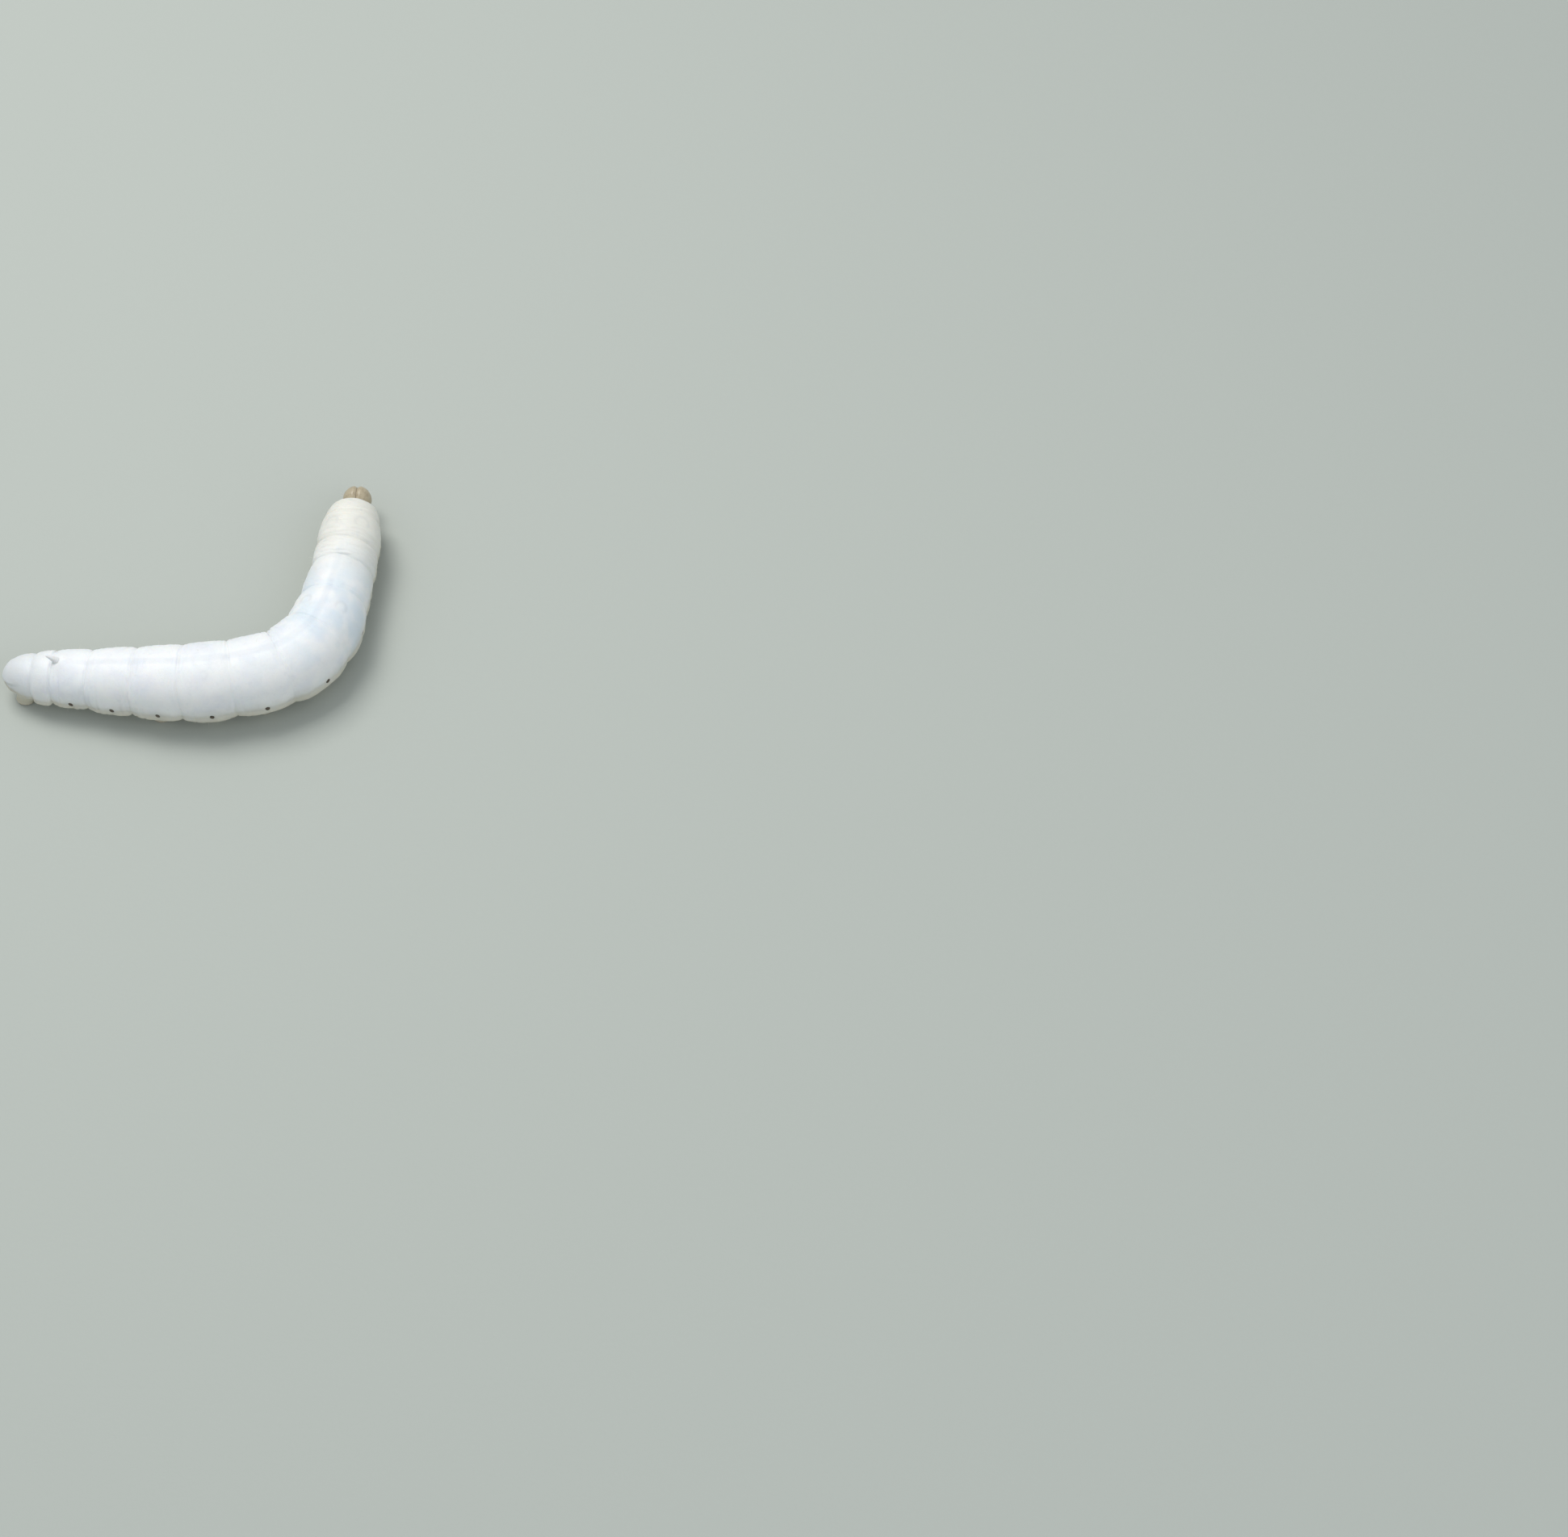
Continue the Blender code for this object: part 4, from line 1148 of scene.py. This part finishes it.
# %% [markdown]
# ## The head
# The head is a hard capsule of two rounded lobes with a groove between them. The groove runs down
# from the crown and forks like an upside-down Y round the flat triangle of the face. A sculpted ball
# could do it, but the solids' head follows a short formula in its own frame, so the capsule repeats
# that with many more points, and adds the seams as narrow furrows. Its frame has X to the worm's
# right, Y out of the face and Z to the crown.

# %% The head's frame and capsule
HEAD_HALF_WIDTH = 1.92
HEAD_HALF_HEIGHT = 1.95
HEAD_HALF_DEPTH = 1.75
HEAD_PITCH = math.radians(32.0)
HEAD_AHEAD = 1.62
HEAD_DROP = 0.35
CROWN_GROOVE_DEPTH = 0.12
CROWN_GROOVE_WIDTH = 0.3
SEAM_FORK = (0.0, 0.35)
SEAM_FOOT = (0.74, -1.15)
SEAM_WIDTH = 0.075
SEAM_DEPTH = 0.045
FACE_DEPTH = 0.03

neck, neck_left, neck_forward = section(BODY_LENGTH)
level, upright = math.cos(HEAD_PITCH), math.sin(HEAD_PITCH)
tilt = np.array([[1.0, 0.0, 0.0], [0.0, level, upright], [0.0, -upright, level]])
HEAD_AXES = np.stack([-neck_left, neck_forward, UP], axis=-1) @ tilt
HEAD_MIDDLE = neck + neck_forward * HEAD_AHEAD - UP * HEAD_DROP


def from_head(points):
    """Points of the head's own frame in the model's frame."""
    return np.asarray(points) @ HEAD_AXES.T + HEAD_MIDDLE


def to_line(x, z, start, end):
    """The distance of points to a line's stretch, in the plane of the face."""
    run = np.array(end) - np.array(start)
    share = np.clip(((x - start[0]) * run[0] + (z - start[1]) * run[1]) / (run @ run), 0.0, 1.0)
    return np.hypot(x - start[0] - share * run[0], z - start[1] - share * run[1])


def capsule(direction):
    """The head capsule's points for unit directions, and how near each lies to a seam."""
    x, y, z = np.moveaxis(direction, -1, 0)
    squares = (x / HEAD_HALF_WIDTH) ** 2 + (y / HEAD_HALF_DEPTH) ** 2 + (z / HEAD_HALF_HEIGHT) ** 2
    radius = 1.0 / np.sqrt(squares)
    narrow = 1.0 - 0.16 * smooth(-z) * np.abs(x)
    groove = bump_at(x * radius, 0.0, CROWN_GROOVE_WIDTH) * smooth(z * 1.4 + 0.15)
    face = 0.06 * smooth(y * 1.5 - 0.4) * smooth(1.0 - np.abs(z) * 1.2)
    reach = radius * narrow * (1.0 - CROWN_GROOVE_DEPTH * groove - face)
    in_front = smooth(y * 3.0 + 0.3)
    wide, high = np.abs(x * reach), z * reach
    crown_line = wide + np.maximum(SEAM_FORK[1] - high, 0.0)
    away = np.minimum(crown_line, to_line(wide, high, SEAM_FORK, SEAM_FOOT) + (1.0 - in_front))
    seam = bump_at(away, 0.0, SEAM_WIDTH)
    inside_fork = in_front * smooth((SEAM_FORK[1] - high) / 0.5 - wide / 0.35)
    reach = reach - (SEAM_DEPTH * seam + FACE_DEPTH * inside_fork)
    return direction * reach[..., None], seam


def head_directions(rings, columns):
    """Unit directions from the pole in the face to the pole in the neck."""
    polar = np.linspace(0.0, np.pi, rings + 2)[1:-1][:, None]
    turn = np.linspace(0.0, 2.0 * np.pi, columns, endpoint=False)[None, :]
    flat = np.sin(polar)
    return np.stack([flat * np.cos(turn), np.cos(polar) + 0.0 * turn, flat * np.sin(turn)], axis=-1)


capsule_grid, capsule_seam = capsule(head_directions(150, 200))
head = grids_object("head_capsule", [from_head(capsule_grid)])
store(head, "seam", np.append(capsule_seam.ravel(), [0.0, 0.0]))

# %% [markdown]
# ### The finish of the head
# The capsule is smooth, hard and waxy, tan with a greyish cast and a net of darker brown on the
# cheeks. The seams are a shade darker. Two noises of different size keep the mottling from looking
# like one pattern.

# %% Capsule material
TAN = (0.47, 0.40, 0.275)
BROWN = (0.245, 0.185, 0.115)
SEAM_TONE = (0.15, 0.105, 0.06)

shell = Finish("head_shell")
blotches = shell.noise(0.75 * MM, 4.0, 0.62)
freckles = shell.noise(0.17 * MM, 3.0, 0.6)
shell_tone = shell.layered(
    TAN,
    (blotches.rise(0.44, 0.74) * 0.62, BROWN),
    (freckles.rise(0.55, 0.75) * 0.35, BROWN),
    (shell.stored("seam").rise(0.2, 0.9) * 0.7, SEAM_TONE),
)
shell_relief = freckles * 0.6 + shell.noise(0.07 * MM, 2.0) * 0.4
shell_gloss = {"Coat_Weight": 0.25, "Coat_Roughness": 0.2}
shell_material = shell.close(shell_tone, 0.30 + blotches * 0.16, shell_relief, 0.012 * MM, **shell_gloss)
finish_piece(head, shell_material, "brown_horn", "head")

# %% [markdown]
# ## Mouth and feelers
# Under the face sit a plate, a notched upper lip, two toothed jaws, a pair of ringed palps and the
# spinneret that lays the silk, with a short jointed feeler beside each jaw. Each is a small tube with
# its own run of radii. Rings and joints are dips in that run, so one function makes them all.

# %% Tapered pieces of the mouth
JAW = ((0.62, 1.0, -1.35), (0.25, 1.3, -2.1), (0.46, 0.25))
PALP = ((0.72, 0.35, -1.45), (0.6, 0.85, -2.3), (0.42, 0.2))
SPINNERET = ((0.0, 0.1, -1.45), (0.0, 0.75, -2.45), (0.56, 0.2))
FEELER = ((0.95, 0.7, -1.2), (1.5, 1.6, -2.1), (0.29, 0.12))
FACE_PLATE = ((0.0, 1.32, -0.98), (0.72, 0.34, 0.45))
UPPER_LIP = ((0.0, 1.38, -1.6), (0.6, 0.28, 0.36))
CONE_RINGS = 44
CONE_SIDES = 26
CONE_PROFILE = ((0.0, 1.0), (0.45, 0.9), (0.8, 0.62), (0.95, 0.3), (1.0, 0.0))


def cone_radius(share, radii):
    """The radius of a tapered piece with a rounded tip, as the solids have it."""
    wide = np.interp(share, *zip(*CONE_PROFILE))
    rounded_tip = np.minimum(1.0, wide * 2.0 + 0.45) * smooth((1.0 - share) / 0.05 + 0.25)
    return radii[1] * rounded_tip + (radii[0] - radii[1]) * wide


def mouth_cone(start, end, radii, side, joints=()):
    """A tapered piece in the head's frame; each joint is (place, depth, width) along it."""
    mirror = np.array([side, 1.0, 1.0])
    share = np.linspace(0.0, 1.0, CONE_RINGS)
    radius = cone_radius(share, radii)
    for place, depth, width in joints:
        radius = radius * (1.0 - depth * bump_at(share, place, width))
    path = np.array(start) * mirror + (np.array(end) - np.array(start)) * mirror * share[:, None]
    grid = tube(path, np.stack([radius, radius], axis=-1), CONE_SIDES, np.array([1.0, 0.0, 0.1]))
    return from_head(grid)


def mouth_ball(centre, radii, notch=0.0):
    """A flattened ball in the head's frame, with a notch in the middle of its lower edge."""
    direction = head_directions(40, 56)
    x, _, z = np.moveaxis(direction, -1, 0)
    cut = 1.0 - notch * bump_at(x, 0.0, 0.2) * smooth(-z * 1.6)
    return from_head(direction * cut[..., None] * np.array(radii) + np.array(centre))


PALP_JOINTS = ((0.34, 0.16, 0.035), (0.62, 0.18, 0.03), (0.84, 0.16, 0.025))
FEELER_JOINTS = ((0.42, 0.15, 0.028), (0.74, 0.17, 0.024))
SPINNERET_JOINTS = ((0.5, 0.18, 0.04), (0.78, 0.16, 0.03))
LIP_NOTCH = 0.42
lip_horn = horn_finish("lip_horn", (0.28, 0.20, 0.12), (0.47, 0.38, 0.26), 0.32, 0.3 * MM)
dark_horn = horn_finish("dark_horn", (0.045, 0.024, 0.012), (0.14, 0.075, 0.035), 0.24, 0.25 * MM)
MOUTH = {
    "face_plate_and_lip": [mouth_ball(*FACE_PLATE), mouth_ball(*UPPER_LIP, LIP_NOTCH)],
    "palps": [mouth_cone(*PALP, side, PALP_JOINTS) for side in (1, -1)],
    "spinneret": [mouth_cone(*SPINNERET, 1, SPINNERET_JOINTS)],
}
for piece, grids in MOUTH.items():
    finish_piece(grids_object(piece, grids), lip_horn, "brown_horn")

# %% Jaws and feelers
JAW_TEETH = 5


def toothed(grid):
    """Draw the last rings of a jaw out into teeth."""
    rings = np.linspace(0.0, 1.0, len(grid))[:, None, None]
    turn = np.linspace(0.0, 2.0 * np.pi, grid.shape[1], endpoint=False)[None, :, None]
    along = unit(grid[-1].mean(axis=0) - grid[0].mean(axis=0))
    return grid + along * (0.07 * np.cos(JAW_TEETH * turn) * smooth((rings - 0.7) / 0.25))


jaws = grids_object("jaws", [toothed(mouth_cone(*JAW, side)) for side in (1, -1)])
finish_piece(jaws, dark_horn, "brown_horn")
for side, hand in ((-1, "left"), (1, "right")):
    feeler = grids_object(f"feeler_{hand}", [mouth_cone(*FEELER, side, FEELER_JOINTS)])
    finish_piece(feeler, lip_horn, "brown_horn", f"antenna_{hand}")

# %% [markdown]
# ### Simple eyes
# Each cheek carries six tiny black lenses, five in an arc and one below. They are domes on the
# capsule, planted by the same tree as the breathing holes, so they stay close under any change of it.

# %% Eyes
EYE_ARC_START = -70.0
EYE_ARC_STEP = 38.0
EYE_ARC_CENTRE = (1.42, 0.66, -0.75)
EYE_ARC_RADII = (0.1, 0.36, 0.5)
LOWEST_EYE = (1.3, 0.5, -0.98)
EYE_LENS = 0.075
EYE_SUNK = 0.99


def eye_directions(side):
    """Five directions in an arc on the cheek, and one under it."""
    turn = np.radians(EYE_ARC_START + EYE_ARC_STEP * np.arange(5))
    on_arc = np.stack([np.cos(turn), np.cos(turn), np.sin(turn)], axis=-1)
    directions = np.vstack([np.array(EYE_ARC_CENTRE) + on_arc * np.array(EYE_ARC_RADII), LOWEST_EYE])
    return unit(directions * np.array([side, 1.0, 1.0]))


eyes_seen = np.vstack([eye_directions(side) for side in (1, -1)])
eye_points = from_head(capsule(eyes_seen)[0] * EYE_SUNK)
eye_rows = (eye_points, eyes_seen @ HEAD_AXES.T, np.tile(UP, (len(eyes_seen), 1)))
eye_lens = horn_finish("eye_lens", (0.006, 0.006, 0.007), (0.012, 0.011, 0.012), 0.08)
EYE_SIZES = oval_sizes(EYE_LENS, EYE_LENS, EYE_LENS, 0.12)
plant("simple_eyes", eye_rows, EYE_SIZES, plate, eye_lens, 9, "brown_horn")

# %% [markdown]
# ## The jointed legs
# Six short legs grow under the thorax, each of three hard rings with soft skin between them and a
# dark, curved claw. A leg is one tube along a bent path. The joints are dips in its radius, and the
# mesh keeps how far out a point lies, so the material can darken the claw and pale the joints.

# %% Legs
LEG_SPREAD = 1.9
LEG_SIZES = {"prothorax": (0.82, 0.5), "mesothorax": (0.94, 0.52), "metathorax": (1.0, 0.5)}
LEG_RINGS = 84
LEG_SIDES = 32
LEG_JOINTS = (0.30, 0.52, 0.735)
JOINT_WIDTH = 0.022
JOINT_DEPTH = 0.14
LEG_TONE = (0.50, 0.42, 0.29)
LEG_MOTTLE_TONE = (0.36, 0.275, 0.17)
JOINT_TONE = (0.66, 0.60, 0.48)
CLAW_TONE = (0.05, 0.027, 0.014)


def leg_table(chest):
    """Rows of height, ahead, out and radius, from inside the body to the claw's tip."""
    return (
        (chest + 1.6, -0.2, -0.25, 0.98),
        (chest + 0.3, -0.1, 0.1, 0.92),
        (chest * 0.86, 0.0, 0.3, 0.76),
        (chest * 0.78, 0.03, 0.32, 0.64),
        (chest * 0.5, 0.22, 0.36, 0.55),
        (chest * 0.45, 0.26, 0.34, 0.44),
        (chest * 0.24, 0.5, 0.2, 0.35),
        (chest * 0.2, 0.55, 0.16, 0.26),
        (chest * 0.08, 0.74, 0.02, 0.18),
        (0.06, 0.8, -0.14, 0.06),
    )


leg_horn = Finish("leg_horn")
outward = leg_horn.stored("outward")
leg_mottle = leg_horn.noise(0.35 * MM, 4.0, 0.6)
leg_tone = leg_horn.layered(
    LEG_TONE,
    (leg_mottle.rise(0.4, 0.7), LEG_MOTTLE_TONE),
    (leg_horn.stored("joint").rise(0.15, 0.8) * 0.75, JOINT_TONE),
    (1.0 - outward.rise(0.06, 0.26), BEIGE),
    (outward.rise(0.80, 0.93), CLAW_TONE),
)
leg_material = leg_horn.close(leg_tone, 0.34 + leg_mottle * 0.14, leg_horn.noise(0.09 * MM), 0.012 * MM)
for segment, (size, place) in LEG_SIZES.items():
    distance = place_in(segment, place)
    for side, hand in ((1, "left"), (-1, "right")):
        rows = through(leg_table(float(clearance(distance))), LEG_RINGS)
        share = np.linspace(0.0, 1.0, LEG_RINGS)
        near_joint = sum(bump_at(share, joint, JOINT_WIDTH) for joint in LEG_JOINTS)
        radius = rows[:, 3] * size * (1.0 - JOINT_DEPTH * near_joint)
        rows[:, 0] = np.maximum(rows[:, 0], radius * 0.9)
        path = beside(distance, rows, LEG_SPREAD * size, side)
        grid = tube(path, np.stack([radius, radius], axis=-1), LEG_SIDES, section(distance)[2])
        grid[..., 2] = np.maximum(grid[..., 2], 0.0)
        leg = grids_object(f"leg_of_{segment}_{hand}", [grid])
        store(leg, "outward", np.append(np.repeat(share, LEG_SIDES), [0.0, 1.0]))
        store(leg, "joint", np.append(np.repeat(near_joint, LEG_SIDES), [0.0, 0.0]))
        finish_piece(leg, leg_material, "brown_horn", f"leg_{segment}_{hand}")

# %% [markdown]
# ## The horn
# On the back of the eighth abdominal segment stands a soft horn that leans to the tail. Its shape
# follows one rule, a bent line with a radius that falls off, so Geometry Nodes make it whole: the
# line is a quadratic curve, and small rings come from a sine of the share along it.

# %% Horn
HORN_SIZES = {
    "Height": 1.75 * MM,
    "Lean": 1.9 * MM,
    "Root radius": 0.74 * MM,
    "Tip radius": 0.11 * MM,
    "Ring depth": 0.03,
    "Rings": 11.0,
}
HORN_SUNK = 0.7
HORN_TONE = (0.78, 0.79, 0.81)
HORN_MOTTLE_TONE = (0.70, 0.67, 0.62)
HORN_TIP_TONE = (0.56, 0.49, 0.40)
FULL_TURN = 6.283


def horn_shape(graph, wires):
    """A curved, ringed cone that leans along Y."""
    middle = graph.vector(y=wires["Lean"] * 0.38, z=wires["Height"] * 0.68)
    end = graph.vector(y=wires["Lean"], z=wires["Height"])
    line, share = bent_line(graph, middle, end, 90)
    taper = wires["Tip radius"] + (wires["Root radius"] - wires["Tip radius"]) * (1.0 - share) ** 1.15
    turns_along = share**0.8 * wires["Rings"] * FULL_TURN
    waves_along = graph.node("ShaderNodeMath", {"operation": "SINE"}, {0: turns_along})
    rounded_tip = (1.0 - share**16.0) ** 0.5
    radius = taper * (1.0 + waves_along * wires["Ring depth"]) * rounded_tip + 0.004 * MM
    made = swept(graph, line, 40, radius)
    sockets = {"Points": wires["Geometry"], "Instance": made, "Rotation": aligned(graph)}
    return graph.node("GeometryNodeInstanceOnPoints", None, sockets)


horn_skin = Finish("horn_skin")
horn_mottle = horn_skin.noise(0.5 * MM, 3.0)
on_tip = horn_skin.height_of(horn_skin.place).rise(8.7 * MM, 9.6 * MM)
horn_layers = ((horn_mottle.rise(0.4, 0.7) * 0.4, HORN_MOTTLE_TONE), (on_tip * 0.5, HORN_TIP_TONE))
horn_tone = horn_skin.layered(HORN_TONE, *horn_layers)
horn_relief = horn_skin.noise(0.12 * MM)
horn_soft = {"Subsurface_Scale": 0.6 * MM, **FLESH}
horn_material = horn_skin.close(horn_tone, 0.45, horn_relief, 0.02 * MM, **horn_soft)
horn_root = horn_place - UP * HORN_SUNK
backwards = -section(HORN_DISTANCE)[2]
horn_cloud = cloud_of("horn_root", [horn_root], [UP], [backwards])
horn = run_tree(horn_cloud, "tail_horn", HORN_SIZES, horn_shape, horn_material)
finish_piece(horn, horn_material, "cream_skin", "horn")

# %% [markdown]
# ## Hooks on the soles
# Each proleg grips with a half ring of tiny brown hooks along the inner edge of its sole. They are
# bent spikes, planted on an arc just over the floor with their points turned in and down.

# %% Hooks
HOOKS = 26
HOOK_ARC = math.radians(165.0)
HOOK_HEIGHT = 0.16
HOOK_DROP = 1.6
PROLEG_HOOKS = (0.0, (1.22, 1.0))
CLASPER_HOOKS = (-0.32, (1.12, 0.84))


def hook_rows(distance, spread, side, ahead, radii):
    """Places and directions of the hooks of one sole, in an arc round its inner edge."""
    middle, left, forward = section(distance)
    turn = np.linspace(-HOOK_ARC / 2, HOOK_ARC / 2, HOOKS)[:, None]
    inward = -left * side
    out = inward * np.cos(turn) + forward * np.sin(turn)
    over_floor = np.array([middle[0], middle[1], HOOK_HEIGHT])
    root = over_floor + left * side * spread + forward * ahead
    place = root + inward * np.cos(turn) * radii[1] + forward * np.sin(turn) * radii[0]
    return place, unit(out - UP * HOOK_DROP), np.tile(UP, (HOOKS, 1))


hook_sets = []
for side in (1, -1):
    for distance in PROLEG_DISTANCES:
        hook_sets.append(hook_rows(distance, PROLEG_SPREAD, side, *PROLEG_HOOKS))
    hook_sets.append(hook_rows(CLASPER_PLACE, CLASPER_SPREAD, side, *CLASPER_HOOKS))
all_hooks = [np.vstack(part) for part in zip(*hook_sets)]
HOOK_SIZES = spike_sizes(0.16, 0.0, 0.028, 0.15)
plant("hooks", all_hooks, HOOK_SIZES, spike, dark_horn, 13, "brown_horn")

# %% [markdown]
# ## Bristles
# A silkworm looks bare, but short pale hairs stand on every segment and on the head, a few longer
# ones in fixed places and many tiny ones between. Particle hair would be lost when the model leaves
# Blender, so each is a thin bent spike of mesh on a point of the skin.

# %% Bristles on the body and the head
LONG_HAIR_ANGLES = (14.0, 38.0, 64.0, 88.0, 113.0, 130.0, 150.0)
SHORT_HAIRS = 1100
HEAD_HAIRS = 90
hair_draw = np.random.default_rng(31)


def raised_point(distance, degrees):
    """A point of the folded skin and its outward direction."""
    row = int(np.argmin(np.abs(RINGS - distance)))
    column = int(np.argmin(np.abs((ANGLES - degrees + 180.0) % 360.0 - 180.0)))
    return BODY_GRID[row, column], BASE_OUT[row, column]


def hair_rows(distances, degrees):
    """Places and leaning directions of hairs on the skin."""
    rows = [raised_point(d, a) for d, a in zip(distances, degrees)]
    places, out = (np.array(part) for part in zip(*rows))
    lean = hair_draw.normal(scale=0.28, size=out.shape)
    return places, unit(out + lean), np.tile([1.0, 0.0, 0.0], (len(places), 1))


long_places = []
for start, end in zip(ENDS[1:], ENDS[2:]):
    for angle in LONG_HAIR_ANGLES:
        for mirrored in (angle, 360.0 - angle):
            share = 0.5 + hair_draw.uniform(-0.16, 0.16)
            long_places.append((start + share * (end - start), mirrored + hair_draw.uniform(-4.0, 4.0)))
short_along = hair_draw.uniform(1.0, BODY_LENGTH - 0.6, SHORT_HAIRS)
short_places = zip(short_along, hair_draw.uniform(0.0, 360.0, SHORT_HAIRS))

hair = Finish("pale_hair")
hair_noise = hair.noise(0.5 * MM)
hair_material = hair.close(hair.mix(hair_noise, (0.74, 0.69, 0.60), (0.88, 0.86, 0.80)), 0.4)
long_rows = hair_rows(*zip(*long_places))
short_rows = hair_rows(*zip(*short_places))
head_out = unit(hair_draw.normal(size=(HEAD_HAIRS, 3)) + np.array([0.0, 0.7, 0.0]))
head_lean = unit(head_out @ HEAD_AXES.T + hair_draw.normal(scale=0.2, size=head_out.shape))
head_rows = (from_head(capsule(head_out)[0]), head_lean, np.tile([1.0, 0.0, 0.0], (HEAD_HAIRS, 1)))
for piece, rows, sizes, seed in (
    ("long_hairs", long_rows, spike_sizes(0.55, 0.12, 0.011, 0.3), 17),
    ("short_hairs", short_rows, spike_sizes(0.2, 0.05, 0.008, 0.4), 19),
    ("head_hairs", head_rows, spike_sizes(0.5, 0.1, 0.012, 0.4), 23),
):
    plant(piece, rows, sizes, spike, hair_material, seed, "cream_skin")

# %% [markdown]
# ## Measure and finish
# The box of the finished model is measured and printed, as the box of the solids was at the start,
# because the looks mustn't change the size.

# %% Sizes of the finished model
model_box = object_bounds()
sizes = {"cad": [list(corner) for corner in solid_box], "visual": [list(corner) for corner in model_box]}
print("box in mm:", in_mm(model_box))
